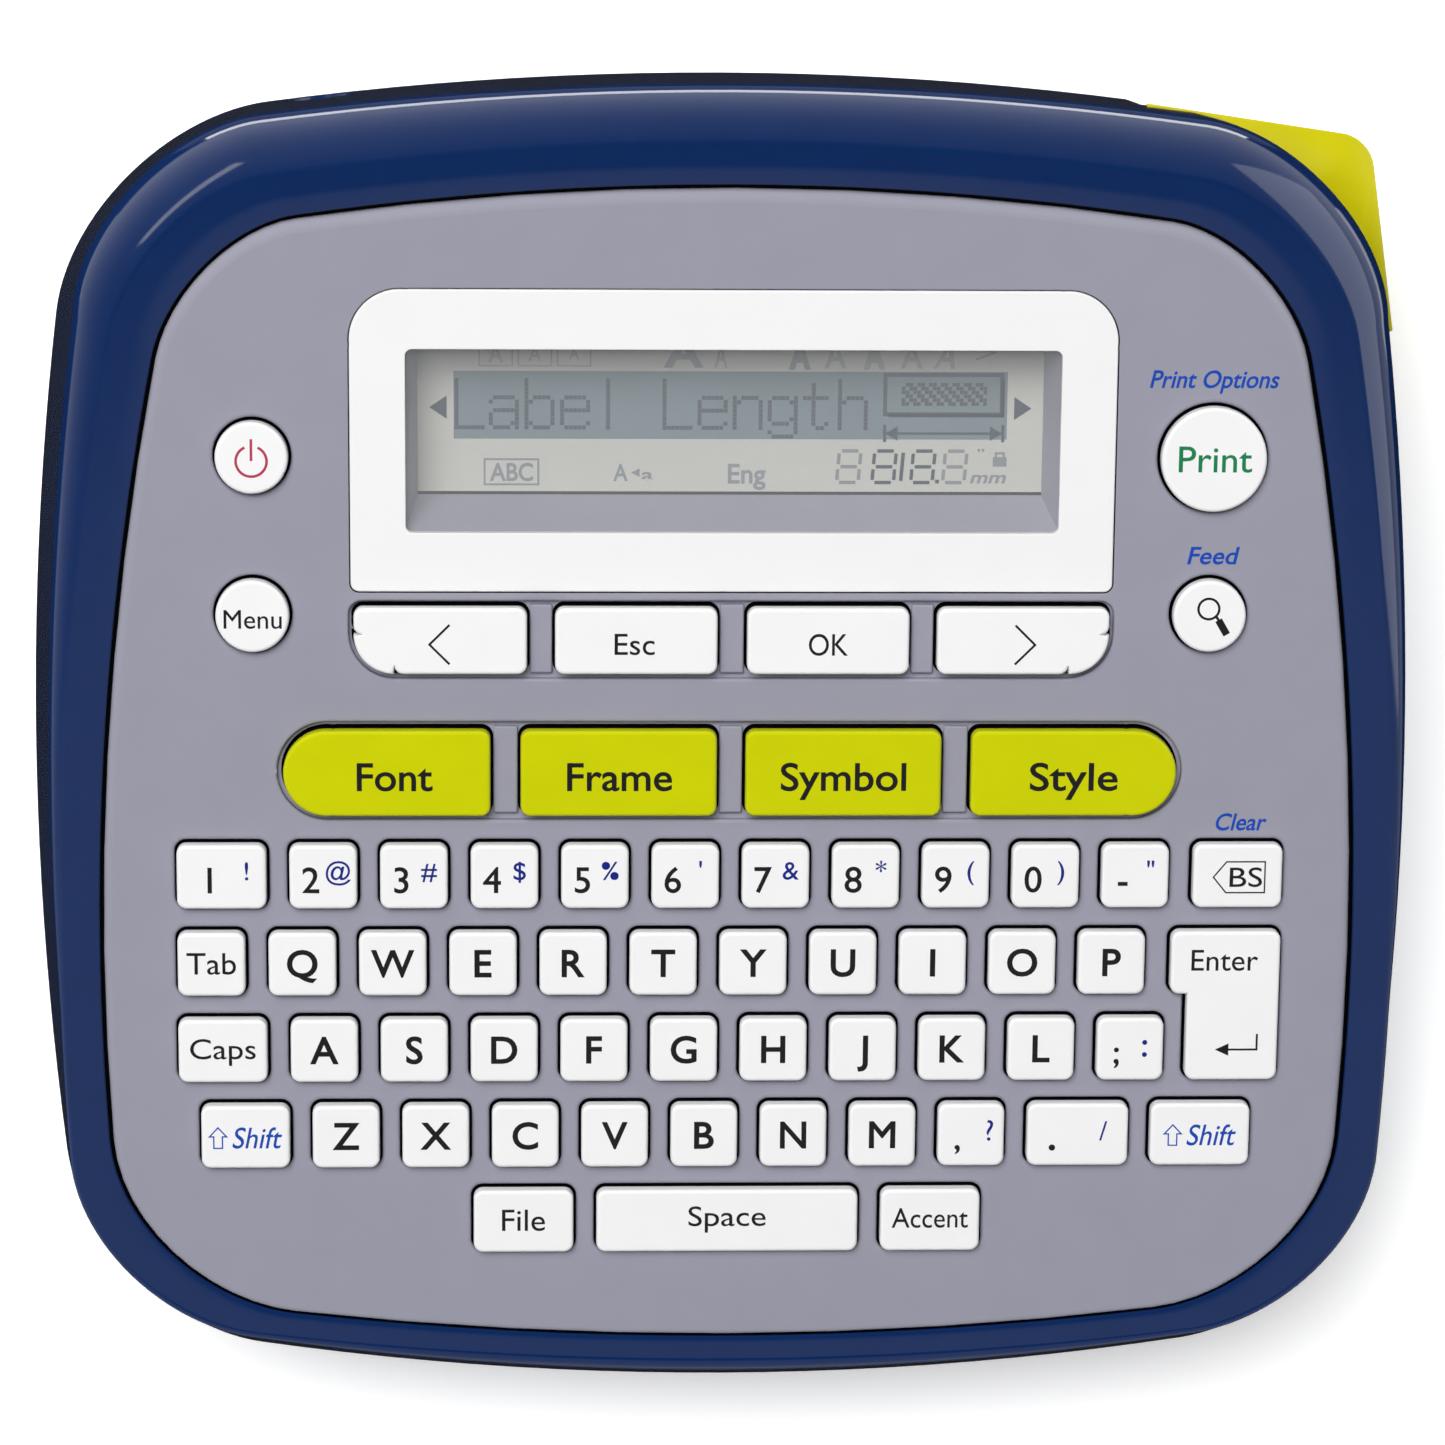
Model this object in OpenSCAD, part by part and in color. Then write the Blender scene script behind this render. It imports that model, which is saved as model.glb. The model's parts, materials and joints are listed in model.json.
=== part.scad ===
// Desktop label maker: wedge-shaped housing, keyboard, display, thermal tape printer and
// hand-lever tape cutter. Origin under the middle of the body on the plane of the feet,
// +Y to the back, +Z up.

/* [Body] */
// Overall width of the body
body_w = 164.4; // [163.4:0.5:166.4]
// Overall depth of the body
body_d = 156.3; // [154.8:0.5:158.3]
// Height of the sloping face above the origin
face_z = 53.2; // [52.6:0.1:54]
// Slope of the keyboard face in degrees
face_slope = 13; // [12.5:0.1:13.2]
// Height of the joint between the two housing halves
parting_z = 27; // [26.5:0.1:27]
// Wall thickness of the housing
wall = 2.2; // [2:0.1:2.4]
// Ground clearance under the base
foot_h = 1.2; // [1:0.1:1.4]

/* [Keyboard] */
// Distance between neighbouring key centres
key_pitch = 10.45; // [10.4:0.01:10.5]
// Width of a character key
key_w = 7.8; // [7.4:0.1:7.9]
// Depth of a character key
key_d = 7.6; // [7.2:0.1:7.8]
// Height of the key tops above the face
key_rise = 1.5; // [1:0.1:2]
// Travel of every key
key_travel = 0.9; // [0.5:0.1:0.9]
// Gap between a key and its opening
key_gap = 0.3; // [0.2:0.05:0.35]
// Thickness of the keyboard panel
panel_t = 2; // [1.8:0.1:2]

/* [Display] */
// Width of the display cover plate
bezel_w = 87.3; // [86:0.1:88]
// Depth of the display cover plate
bezel_d = 34.8; // [34:0.1:35]
// Width of the clear window
window_w = 74.6; // [73:0.1:75]
// Depth of the clear window
window_d = 21.1; // [20.5:0.1:21.5]
// Depth of the display glass below the face
lcd_depth = 8.8; // [8:0.1:9]

/* [Printer] */
// Distance of the tape path to the right of the middle
tape_x = 40; // [39.9:0.1:40.1]
// Height of the middle of the tape
tape_z = 15; // [14.5:0.1:15.5]
// Width of the tape
tape_w = 12; // [9:1:12]
// Module of the drive gears
gear_module = 0.6; // [0.58:0.01:0.6]

/* [Cutter] */
// Top of the cutter lever
lever_top = 43; // [42:0.5:43]
// Bottom of the cutter lever
lever_bottom = 9; // [9:0.5:10]
// Swing of the cutter lever in degrees
lever_swing = 8; // [4:0.5:8]

/* [Power] */
// Diameter of a battery cell
cell_d = 10.5; // [10.3:0.1:10.5]
// Length of a battery cell
cell_l = 44.5; // [44:0.1:44.5]

/* [Hidden] */
$fn = 48;

eps = 0.05;
fit = 0.3;
edge_drop = 0.6;
corner_steps = 12;
edge_steps = 8;
flank_steps = 8;
wall_draft = 9;
shoulder_shape = 0.58;
least_shoulder = 0.6;
pocket = 12;

base_z = foot_h;
floor_z = base_z + wall;
recess_t = 1.3;
base_inset = 4;
ledge = 1.5;

// Plan outlines: [half width, back, front, back radius, front radius, side bow, bow origin, end bow]
body_plan = [body_w / 2, body_d / 2, -body_d / 2, 24, 22, 0.001, 5, 0.0011];
crest_plan = [body_w / 2 - 5, body_d / 2 - 13.1, -body_d / 2 + 2.6, 17, 20, 0.0011, -28, 0.00105];
panel_plan = [72.5, 61.5, -74.4, 15, 20, 0.0012, -30, 0.0011];

// Keyboard layout on the face: rows by their distance up the slope, trenches by width, depth
// and corner radius
row_v = [for (i = [0:4]) -18 - i * key_pitch];
nav_v = 9.82;
fn_v = -5.75;
nav_d = 7.76;
fn_d = 10.1;
key_r = 1.1;
flange = 0.8;
flange_t = 0.9;
flange_n = -panel_t - 0.3;
trench_depth = 1;
nav_trench = [88.4, nav_d + 1.2, 4.2];
fn_trench = [105.6, fn_d + 1.9, 6];
number_u = -47;
top_u = -49.5;
home_u = -47.05;
bottom_u = -44.6;

// Switch stack under the panel
membrane_n = flange_n - flange_t - key_travel - 0.3;
membrane_t = 1.2;
board_n = membrane_n - membrane_t;
board_t = 1.6;
display_v = 32.7;
bezel_t = 1.2;
recess_draft = 1.2;
recess_front = 2.9;
lcd_w = window_w + 2;
lcd_d = window_d + 2;

// Compartments in the base
battery_bay = [-71.2, -30.5, -20.6, 37];
battery_top = floor_z + cell_d + 2.4;
cassette_bay = [-18.4, -7, 58, 56];
bay_wall = 1.4;
cover_box = [-74, -34, 61, 58.4];
cover_margin = 2.4;
cell_y0 = -24.6;
cell_pitch = 11;
cell_z = floor_z + 0.6 + cell_d / 2;
cell_x = (battery_bay[0] + battery_bay[2]) / 2;

// Print mechanism
mech_z = 26.8;
sheet_t = 1.2;
gear_z = 29.2;
gear_t = 4;
idler_teeth = 50;
pinion_teeth = 14;
platen_teeth = 18;
spindle_teeth = 26;
motor_angle = 150;
spindle_angle = -102.5;
platen_xy = [tape_x + 5.35, 50];
holder_pivot = [47, 36];
idler_xy = platen_xy - [mesh_distance(idler_teeth, platen_teeth), 0];
motor_xy = idler_xy + mesh_distance(idler_teeth, pinion_teeth) * [cos(motor_angle), sin(motor_angle)];
spindle_xy = idler_xy
    + mesh_distance(idler_teeth, spindle_teeth) * [cos(spindle_angle), sin(spindle_angle)];
platen_r = 5;
shaft_r = 1.5;

// Cutter
lever_pivot = [74, 46];
lever_t = 2.6;
lever_pts = [[49.4, 72.8], [75.8, 68.9], [78.4, 46.2]];
peg_xy = [60, 64];
peg_r = 1.3;
carriage_y = 62;
carriage_x = 44;
cut_y = 64.2;
exit_w = 4.6;
exit_h = 16;
lever_room = [
    [48.6, 90], [48.6, 72.9], [44.2, 72.9], [44.2, 57.4], [62, 57.4], [66, 42.6], [90, 42.6], [90, 90]
];

// Screw bosses between the housing halves
boss_xy = [[-72, -40], [72, -40], [-68, 45], [71, 10], [-30, 67.5], [25.5, 69]];
boss_r = 3.2;
boss_foot_r = 4.1;
screw_r = 1.4;
screw_head_r = 2.5;
screw_seat = 8;
screw_top = 36;

foot_xy = [[-60, -61], [60, -61], [-50, 64.6], [50, 64.6]];
foot_r = 4.5;
jack_xy = [-48, 70];
jack_z = 36;

body_blue = [0.11, 0.19, 0.38];
panel_grey = [0.59, 0.59, 0.66];
key_white = [0.96, 0.96, 0.96];
lime = [0.8, 0.84, 0.05];

// Distance between the centres of two meshing gears
function mesh_distance(n1, n2) = gear_module * (n1 + n2) / 2;

// Turn that puts a gear of n2 teeth in mesh with one of n1 teeth lying in direction a from it
function mesh_phase(n1, n2, a) = a + 180 + n1 / n2 * a - 180 / n2;

// ---- outline helpers -------------------------------------------------------------------

function arc(c, r, from, steps = corner_steps) =
    [for (i = [0:steps]) c + r * [cos(from + 90 * i / steps), sin(from + 90 * i / steps)]];

function straight(p, q) = [for (i = [1:edge_steps - 1]) p + (q - p) * i / edge_steps];

function round_box(a, back, front, rb, rf) = [
    each arc([a - rb, back - rb], rb, 0), each straight([a - rb, back], [rb - a, back]),
    each arc([rb - a, back - rb], rb, 90), each straight([-a, back - rb], [-a, front + rf]),
    each arc([rf - a, front + rf], rf, 180), each straight([rf - a, front], [a - rf, front]),
    each arc([a - rf, front + rf], rf, 270), each straight([a, front + rf], [a, back - rb])
];

// Round-cornered rectangle whose sides and ends bow outwards, shrunk by an inset
function bowed(plan, inset = 0) =
    let (a = plan[0] - inset, back = plan[1] - inset, front = plan[2] + inset,
         mid = (back + front) / 2, half = (back - front) / 2,
         base = round_box(a, back, front, plan[3] - inset, plan[4] - inset))
    [for (p = base) [
        p.x * (1 - plan[5] * pow(p.y - plan[6], 2) / a),
        mid + (p.y - mid) * (1 - plan[7] * pow(p.x, 2) / half)
    ]];

// Height of the sloping face, moved by n along its normal, above a point
function face_height(y, n = 0) = face_z + y * tan(face_slope) + n / cos(face_slope);

// Direction straight out of a closed anticlockwise outline at its point i
function outward(loop, i) =
    let (n = len(loop), along = loop[(i + 1) % n] - loop[(i + n - 1) % n])
    [along.y, -along.x] / norm(along);

// Point on the flank of the upper shell: a drafted wall up from the outline, then a round
// shoulder that turns through t degrees into the crest
function flank_point(low, high, out, top, t) =
    let (reach = (low - high) * out,
         lean = min(tan(wall_draft), (reach - least_shoulder) / (top - parting_z)),
         run = reach - (top - parting_z) * lean,
         fall = shoulder_shape * run * (1 - cos(t)),
         p = high + (low - high) * (run * sin(t) + fall * lean) / reach)
    [p.x, p.y, top - fall];

// Rings of the upper shell from the parting line up to the crest
function upper_rings(inset, drop) =
    let (low = bowed(body_plan, inset), high = bowed(crest_plan, inset))
    [
        [for (p = low) [p.x, p.y, parting_z]],
        for (k = [0:flank_steps])
            [for (i = [0:len(low) - 1])
                flank_point(low[i], high[i], outward(high, i),
                    face_height(high[i].y, -edge_drop - drop), 90 * (1 - k / flank_steps))]
    ];

// Rings of the lower shell from the base up to the parting line
function lower_rings(inset, bottom) =
    [for (k = [0:flank_steps]) let (t = 90 * (1 - k / flank_steps))
        [for (p = bowed(body_plan, inset + base_inset * (1 - cos(t))))
            [p.x, p.y, parting_z - (parting_z - bottom) * sin(t)]]];

// Closed solid through a stack of rings with equal numbers of points
module loft(rings) {
    n = len(rings[0]);
    last = len(rings) - 1;
    polyhedron(
        points = [for (ring = rings) each ring],
        faces = [
            [for (i = [0:n - 1]) i],
            for (k = [0:last - 1]) for (i = [0:n - 1])
                let (j = (i + 1) % n, a = k * n + i, b = k * n + j)
                each [[a, a + n, b], [b, a + n, b + n]],
            [for (i = [n - 1:-1:0]) last * n + i]
        ]
    );
}

// Frame of the sloping face: X across, Y up the slope, Z out of the face
module on_face() {
    translate([0, 0, face_z]) rotate([face_slope, 0, 0]) children();
}

// Slab on the sloping face between two heights along its normal
module face_slab(low, high) {
    on_face() translate([0, 0, low]) linear_extrude(high - low) children();
}

module slab(low, high) {
    translate([0, 0, low]) linear_extrude(high - low) children();
}

// Rectangle given by its corners [x0, y0, x1, y1], grown on every side
module box2d(b, grow = 0) {
    translate([b[0] - grow, b[1] - grow]) square([b[2] - b[0] + 2 * grow, b[3] - b[1] + 2 * grow]);
}

module rounded(w, d, r) {
    square([w - 2 * r, d], center = true);
    square([w, d - 2 * r], center = true);
    for (x = [-1, 1], y = [-1, 1]) translate([x * (w / 2 - r), y * (d / 2 - r)]) circle(r, $fn = 24);
}

module disc(xy, r, low, high) {
    translate([xy.x, xy.y, low]) cylinder(h = high - low, r = r);
}

// ---- keys -------------------------------------------------------------------------------

// Plan of each key, grown by g: [kind, u, v, width, depth]
module key_plan(k, g = 0) {
    translate([k[1], k[2]])
        if (k[0] == "round") circle(k[3] / 2 + g, $fn = 48);
        else if (k[0] == "pill_left") pill(k[3], k[4], 1, g);
        else if (k[0] == "pill_right") pill(k[3], k[4], -1, g);
        else if (k[0] == "hook_left") hook(k[3], k[4], 1, g);
        else if (k[0] == "hook_right") hook(k[3], k[4], -1, g);
        else if (k[0] == "enter") enter_plan(g);
        else rounded(k[3] + 2 * g, k[4] + 2 * g, key_r + g);
}

// Key with one fully rounded end; side is 1 for the left end and -1 for the right
module pill(w, d, side, g) {
    r = d / 2;
    mirror([side > 0 ? 0 : 1, 0]) {
        translate([r - w / 2, 0]) circle(r + g, $fn = 48);
        translate([r / 2, 0]) rounded(w - r + 2 * g, d + 2 * g, key_r + g);
    }
}

// Key with one large radius at its outer front corner
module hook(w, d, side, g) {
    r = 4.6;
    mirror([side > 0 ? 0 : 1, 0]) {
        translate([0, r / 2]) rounded(w + 2 * g, d - r + 2 * g, key_r + g);
        translate([r / 2, 0]) rounded(w - r + 2 * g, d + 2 * g, key_r + g);
        intersection() {
            translate([r - w / 2, r - d / 2]) circle(r + g, $fn = 48);
            translate([-w / 2 - g, -d / 2 - g]) square(r + g);
        }
    }
}

// L-shaped enter key about the centre of its upper arm
enter_w = 12.8;
enter_stem = 10.8;
enter_drop = key_pitch;
module enter_plan(g) {
    rounded(enter_w + 2 * g, key_d + 2 * g, key_r + g);
    translate([(enter_w - enter_stem) / 2, -enter_drop / 2])
        rounded(enter_stem + 2 * g, key_d + enter_drop + 2 * g, key_r + g);
}

function row_keys(u, v, n) = [for (i = [0:n - 1]) ["rect", u + i * key_pitch, v, key_w, key_d]];

k_power = ["round", -54.7, 31, 8.3];
k_menu = ["round", -54.8, 12.7, 8.4];
k_print = ["round", 54.8, 31, 12.1];
k_preview = ["round", 54.8, 12.8, 8.4];
k_left = ["hook_left", -33.4, nav_v, 19.8, nav_d];
k_escape = ["rect", -11, nav_v, 18.6, nav_d];
k_ok = ["rect", 11, nav_v, 18.6, nav_d];
k_right = ["hook_right", 33.4, nav_v, 19.8, nav_d];
k_font = ["pill_left", -39.6, fn_v, 23.8, fn_d];
k_frame = ["rect", -12.95, fn_v, 22.6, fn_d];
k_symbol = ["rect", 12.95, fn_v, 22.6, fn_d];
k_style = ["pill_right", 39.6, fn_v, 23.8, fn_d];
k_backspace = ["rect", 59, row_v[0], 10.4, key_d];
k_tab = ["rect", -60, row_v[1], key_w, key_d];
k_enter = ["enter", 57.9, row_v[1]];
k_caps = ["rect", -58.8, row_v[2], 10.3, key_d];
k_shift_left = ["rect", -56.3, row_v[3], 10.3, key_d];
k_shift_right = ["rect", 55.5, row_v[3], 11.7, key_d];
k_file = ["rect", -23.9, row_v[4], 11.7, key_d];
k_space = ["rect", 0, row_v[4], 30.7, key_d];
k_accent = ["rect", 23.9, row_v[4], 11.7, key_d];
number_keys = concat([["rect", -58.7, row_v[0], 10.3, key_d]], row_keys(number_u, row_v[0], 10));
top_keys = row_keys(top_u, row_v[1], 10);
home_keys = row_keys(home_u, row_v[2], 10);
bottom_keys = concat(row_keys(bottom_u, row_v[3], 8), [["rect", 41.1, row_v[3], 11.9, key_d]]);

side_keys = [k_power, k_menu, k_print, k_preview];
nav_keys = [k_left, k_escape, k_ok, k_right];
fn_keys = [k_font, k_frame, k_symbol, k_style];
typing_keys = concat(
    number_keys, top_keys, home_keys, bottom_keys,
    [k_backspace, k_tab, k_enter, k_caps, k_shift_left, k_shift_right, k_file, k_space, k_accent]
);
all_keys = concat(side_keys, nav_keys, fn_keys, typing_keys);

// One key cap with the flange that holds it under the panel
module key(k) {
    face_slab(flange_n - eps, key_rise) key_plan(k);
    face_slab(flange_n - flange_t, flange_n) key_plan(k, flange);
}

module white_keys(list) {
    color(key_white) for (k = list) key(k);
}

module lime_key(k) {
    color(lime) key(k);
}

// ---- housing ----------------------------------------------------------------------------

module top_housing() {
    color(body_blue) {
        difference() {
            union() {
                difference() {
                    loft(upper_rings(0, 0));
                    translate([0, 0, -eps]) loft(upper_rings(wall, wall));
                }
                intersection() {
                    loft(upper_rings(wall / 2, wall / 2));
                    for (p = boss_xy) disc(p, boss_r, parting_z, face_z + 20);
                }
                disc(lever_pivot, 3, lever_top + fit, lever_top + 6);
            }
            face_slab(-edge_drop - pocket, pocket) polygon(bowed(panel_plan, ledge));
            face_slab(-panel_t, pocket) polygon(bowed(panel_plan, -fit));
            slab(parting_z - 1, lever_top + fit) polygon(lever_room);
            for (p = boss_xy) disc(p, screw_r + 0.1, parting_z - 1, screw_top + 0.5);
            disc(lever_pivot, shaft_r, lever_top - 1, lever_top + 4);
            translate([jack_xy.x, jack_xy.y, jack_z]) rotate([-90, 0, 0]) cylinder(h = 30, r = 4.2);
        }
    }
}

module bottom_housing() {
    color(body_blue * 0.8) {
        difference() {
            union() {
                difference() {
                    loft(lower_rings(0, base_z));
                    translate([0, 0, eps]) loft(lower_rings(wall, floor_z));
                    slab(parting_z - 5, parting_z + 5) polygon(bowed(body_plan, wall));
                    slab(base_z - 1, floor_z + 1) box2d(battery_bay);
                    slab(base_z - 1, floor_z + 1) box2d(cassette_bay);
                }
                bay(battery_bay, battery_top);
                intersection() {
                    loft(lower_rings(wall / 2, base_z));
                    difference() {
                        slab(base_z, mech_z - fit) box2d(cassette_bay, bay_wall);
                        slab(base_z - 1, mech_z) box2d(cassette_bay);
                    }
                }
                intersection() {
                    loft(lower_rings(wall / 2, base_z));
                    union() {
                        for (p = boss_xy) {
                            disc(p, boss_r, base_z, parting_z);
                            disc(p, boss_foot_r, base_z, screw_seat + 1.5);
                        }
                        disc(lever_pivot, 3, base_z, lever_bottom - fit);
                    }
                }
                tape_chute();
            }
            slab(base_z - 1, base_z + recess_t) cover_plan(fit);
            slab(floor_z - eps, parting_z)
                box2d([tape_x - 6, cassette_bay[3] - 1, 59.5, cassette_bay[3] + 2]);
            slab(lever_bottom - fit, parting_z + 1) polygon(lever_room);
            translate([tape_x - exit_w / 2, cut_y + 2, tape_z - exit_h / 2]) cube([exit_w, 20, exit_h]);
            for (p = boss_xy) {
                disc(p, screw_head_r + 0.4, base_z - 1, screw_seat);
                disc(p, screw_r + 0.2, base_z, parting_z + 1);
            }
            disc(lever_pivot, shaft_r, base_z + 2, lever_bottom);
            for (p = foot_xy) disc(p, foot_r + 0.1, base_z - 1, base_z + 0.8);
        }
    }
}

// Open-bottomed compartment with a ceiling
module bay(b, top) {
    difference() {
        slab(base_z + recess_t, top) box2d(b, bay_wall);
        slab(base_z - 1, top - bay_wall) box2d(b);
    }
}

// Walls that lead the tape from the cutter to its slot in the back wall
module tape_chute() {
    outer = 2 * 1.4 + exit_w;
    translate([tape_x - outer / 2, 67.2, tape_z - exit_h / 2 - 1.4]) cube([outer, 8, exit_h + 2.8]);
}

// Outline of the back cover, kept inside the rounded edge of the base
module cover_plan(grow = 0) {
    intersection() {
        box2d(cover_box, grow);
        polygon(bowed(body_plan, base_inset + cover_margin - grow));
    }
}

module back_cover() {
    color(body_blue * 0.7) {
        slab(base_z, base_z + recess_t - 0.1) cover_plan();
        for (p = [[-60, battery_bay[1]], [-34, battery_bay[1]], [0, cassette_bay[1]], [44, cassette_bay[1]]])
            translate([p.x, p.y + 0.4, base_z + 1]) cube([8, 1.6, 3.2]);
        for (x = [-10, 30]) translate([x, 6, base_z + 1]) cube([1.4, 30, 3]);
    }
}

module keyboard_panel() {
    color(panel_grey) difference() {
        face_slab(-panel_t, 0) polygon(bowed(panel_plan));
        face_slab(-panel_t - 1, 1) {
            for (k = all_keys) key_plan(k, key_gap);
            translate([0, display_v]) rounded(bezel_w - 4, bezel_d - 4, 2);
        }
        face_slab(-bezel_t, 1) translate([0, display_v]) display_plan(0.15);
        face_slab(-trench_depth, 1) {
            translate([0, nav_v - 0.1]) rounded(nav_trench[0], nav_trench[1], nav_trench[2]);
            translate([0, fn_v - 0.1]) rounded(fn_trench[0], fn_trench[1], fn_trench[2]);
        }
    }
}

// ---- display ----------------------------------------------------------------------------

module display_plan(g = 0) {
    w = bezel_w / 2;
    d = bezel_d / 2;
    rb = 5.8;
    rounded(bezel_w - 2 * rb + 2 * g, bezel_d + 2 * g, 1);
    translate([0, -rb / 2]) rounded(bezel_w + 2 * g, bezel_d - rb + 2 * g, 1);
    for (x = [-1, 1]) translate([x * (w - rb), d - rb]) circle(rb + g);
}

module display_bezel() {
    color("white") face_slab(-bezel_t, 0) translate([0, display_v]) difference() {
        display_plan();
        rounded(window_w, window_d, 0.8);
    }
}

module display_window() {
    color([0.8, 0.85, 0.85, 0.4])
        face_slab(-bezel_t, -0.05) translate([0, display_v]) rounded(window_w - 0.1, window_d - 0.1, 0.8);
}

// Deep frame with drafted walls between the cover plate and the display glass
module lcd_holder() {
    low = -lcd_depth;
    high = -bezel_t - 0.1;
    inner = [window_w / 2 - recess_draft, window_d / 2 - recess_draft, window_d / 2 - recess_front];
    outer = [window_w / 2 + 0.2, window_d / 2 + 0.2, window_d / 2 + 0.2];
    color(panel_grey) difference() {
        union() {
            face_slab(low - 3.4, high) translate([0, display_v]) rounded(lcd_w + 4, lcd_d + 4, 1);
            face_slab(-panel_t - 1.4, -panel_t - 0.1) translate([0, display_v])
                rounded(bezel_w + 2, lcd_d + 6, 1);
        }
        on_face() translate([0, display_v, 0]) loft([
            rectangle_ring(inner, low - 0.01),
            rectangle_ring(outer, high + 0.01)
        ]);
        face_slab(low - 3.2, low) translate([0, display_v]) square([lcd_w + 1, lcd_d + 1], center = true);
        face_slab(low - 4, low - 3) translate([0, display_v]) square([lcd_w - 4, lcd_d - 4], center = true);
    }
}

// Rectangle at height z from its half width and its reach to the back and to the front
function rectangle_ring(half, z) =
    [for (s = [[1, 1], [-1, 1], [-1, -1], [1, -1]])
        [s.x * half.x, s.y * half[s.y > 0 ? 1 : 2], z]];

module lcd_module() {
    color([0.7, 0.73, 0.68])
        face_slab(-lcd_depth - 3, -lcd_depth - 0.05) translate([0, display_v])
            square([lcd_w, lcd_d], center = true);
}

// ---- switch stack -----------------------------------------------------------------------

function stack_plan() = bowed(panel_plan, 6.5);

module keypad_membrane() {
    color([0.75, 0.75, 0.75]) difference() {
        union() {
            face_slab(membrane_n - membrane_t, membrane_n) polygon(stack_plan());
            for (k = all_keys) on_face() translate([k[1], k[2], membrane_n - eps])
                cylinder(h = 0.2 + eps, r = 2.6, $fn = 24);
        }
        face_slab(membrane_n - 3, membrane_n + 1) display_clearance();
    }
}

module main_board() {
    color([0.1, 0.4, 0.2]) difference() {
        face_slab(board_n - board_t, board_n) polygon(stack_plan());
        face_slab(board_n - 3, board_n + 1) display_clearance();
    }
    chips = [[-52, -30, 14, 14], [-20, -38, 10, 7], [12, -52, 18, 9], [54, -24, 9, 6]];
    color([0.12, 0.12, 0.13]) for (c = chips)
        on_face() translate([c[0], c[1], board_n - board_t - 1.5]) linear_extrude(1.5)
            square([c[2], c[3]], center = true);
}

module display_clearance() {
    translate([0, display_v]) square([lcd_w + 5, lcd_d + 5], center = true);
}

// ---- cutter -----------------------------------------------------------------------------

// Bent plate through three points with a rounded corner, thickness measured inwards
module bent_plate(p, t, r) {
    d1 = (p[1] - p[0]) / norm(p[1] - p[0]);
    d2 = (p[2] - p[1]) / norm(p[2] - p[1]);
    n1 = [d1.y, -d1.x];
    n2 = [d2.y, -d2.x];
    a1 = atan2(-n1.y, -n1.x);
    a2 = atan2(-n2.y, -n2.x);
    cut = r * tan((a1 - a2) / 2);
    c = p[1] - d1 * cut + n1 * r;
    steps = 8;
    outer = [for (i = [0:steps]) let (a = a1 + (a2 - a1) * i / steps) c + r * [cos(a), sin(a)]];
    inner = [for (i = [steps:-1:0]) let (a = a1 + (a2 - a1) * i / steps) c + (r - t) * [cos(a), sin(a)]];
    polygon([p[0], each outer, p[2], p[2] + n2 * t, each inner, p[0] + n1 * t]);
}

module cutter_lever() {
    hub_r = 3;
    arm_z = [24, 27];
    color(lime) difference() {
        union() {
            slab(lever_bottom, lever_top) bent_plate(lever_pts, lever_t, 4.4);
            slab(lever_top - 2, lever_top) polygon([
                lever_pts[0] + [0.2, -1], lever_pts[1] - [1.5, 1], lever_pts[2] - [1, 0],
                [72, 49], [66, 61], [54, 66.4]
            ]);
            disc(lever_pivot, hub_r, lever_bottom, lever_top);
            slab(arm_z[0], arm_z[1]) polygon([
                [75, 44.5], [77, 52], [66, 66.5], [58.2, 66.4], [57.6, 62.6], [64, 58], [71.6, 46]
            ]);
            disc(peg_xy, peg_r, 12, arm_z[0] + eps);
        }
        disc(lever_pivot, shaft_r + 0.08, lever_bottom - 1, lever_top + 1);
    }
}

module lever_pin() {
    color("silver") disc(lever_pivot, shaft_r, base_z + 2.5, lever_top + 3.5);
}

module blade_carriage() {
    slot_w = 2 * (peg_r + fit);
    color([0.2, 0.2, 0.22]) difference() {
        translate([carriage_x + 2.2, carriage_y - 1.4, 7.4]) cube([17.4, 5.6, 15.6]);
        hull() {
            disc(peg_xy + [0, 3], slot_w / 2, 10, 24);
            disc(peg_xy - [0, 6], slot_w / 2, 10, 24);
        }
    }
    color([0.2, 0.2, 0.22]) translate([carriage_x + 5, carriage_y - 1.2, 22.9]) cube([2, 5.2, 8]);
}

module cutter_blade() {
    tip = tape_x + 1.4;
    color("silver") slab(7.6, 22.4) polygon([
        [tip, cut_y + 0.35], [tip + 0.8, cut_y], [carriage_x + 2.2, cut_y],
        [carriage_x + 2.2, cut_y + 0.4], [tip, cut_y + 0.4]
    ]);
}

// Rings of a helical wire along X
function coil_ring(i, per_turn, turns, length, r, wire, sides) =
    let (a = 360 * i / per_turn, x = length * i / (per_turn * turns))
    [for (s = [0:sides - 1]) let (b = 360 * s / sides)
        [x + wire * sin(b), (r + wire * cos(b)) * cos(a), (r + wire * cos(b)) * sin(a)]];

spring_x = [tape_x + 1.5, carriage_x + 4.7];
module carriage_spring() {
    turns = 5;
    per_turn = 12;
    color("silver") translate([spring_x[0] + 0.3, carriage_y + 1.4, 28])
        loft([for (i = [0:per_turn * turns])
            coil_ring(i, per_turn, turns, spring_x[1] - spring_x[0] - 0.6, 1.8, 0.25, 6)]);
}

// Sheet that the carriage hangs from, with the fixed stop for the spring
module cutter_guide() {
    z = 23.4;
    color([0.7, 0.7, 0.72]) {
        difference() {
            translate([30, cassette_bay[3] + bay_wall, z]) cube([35.4, 8.8, sheet_t]);
            translate([carriage_x + 1.2, carriage_y - 2, z - 1]) cube([7.4, 7.4, 4]);
            translate([peg_xy.x - 7, carriage_y - 5, z - 1]) cube([14, 12, 4]);
        }
        translate([spring_x[0] - 2, carriage_y - 1.2, z + sheet_t - eps]) cube([2, 5.2, 6]);
    }
}

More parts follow.
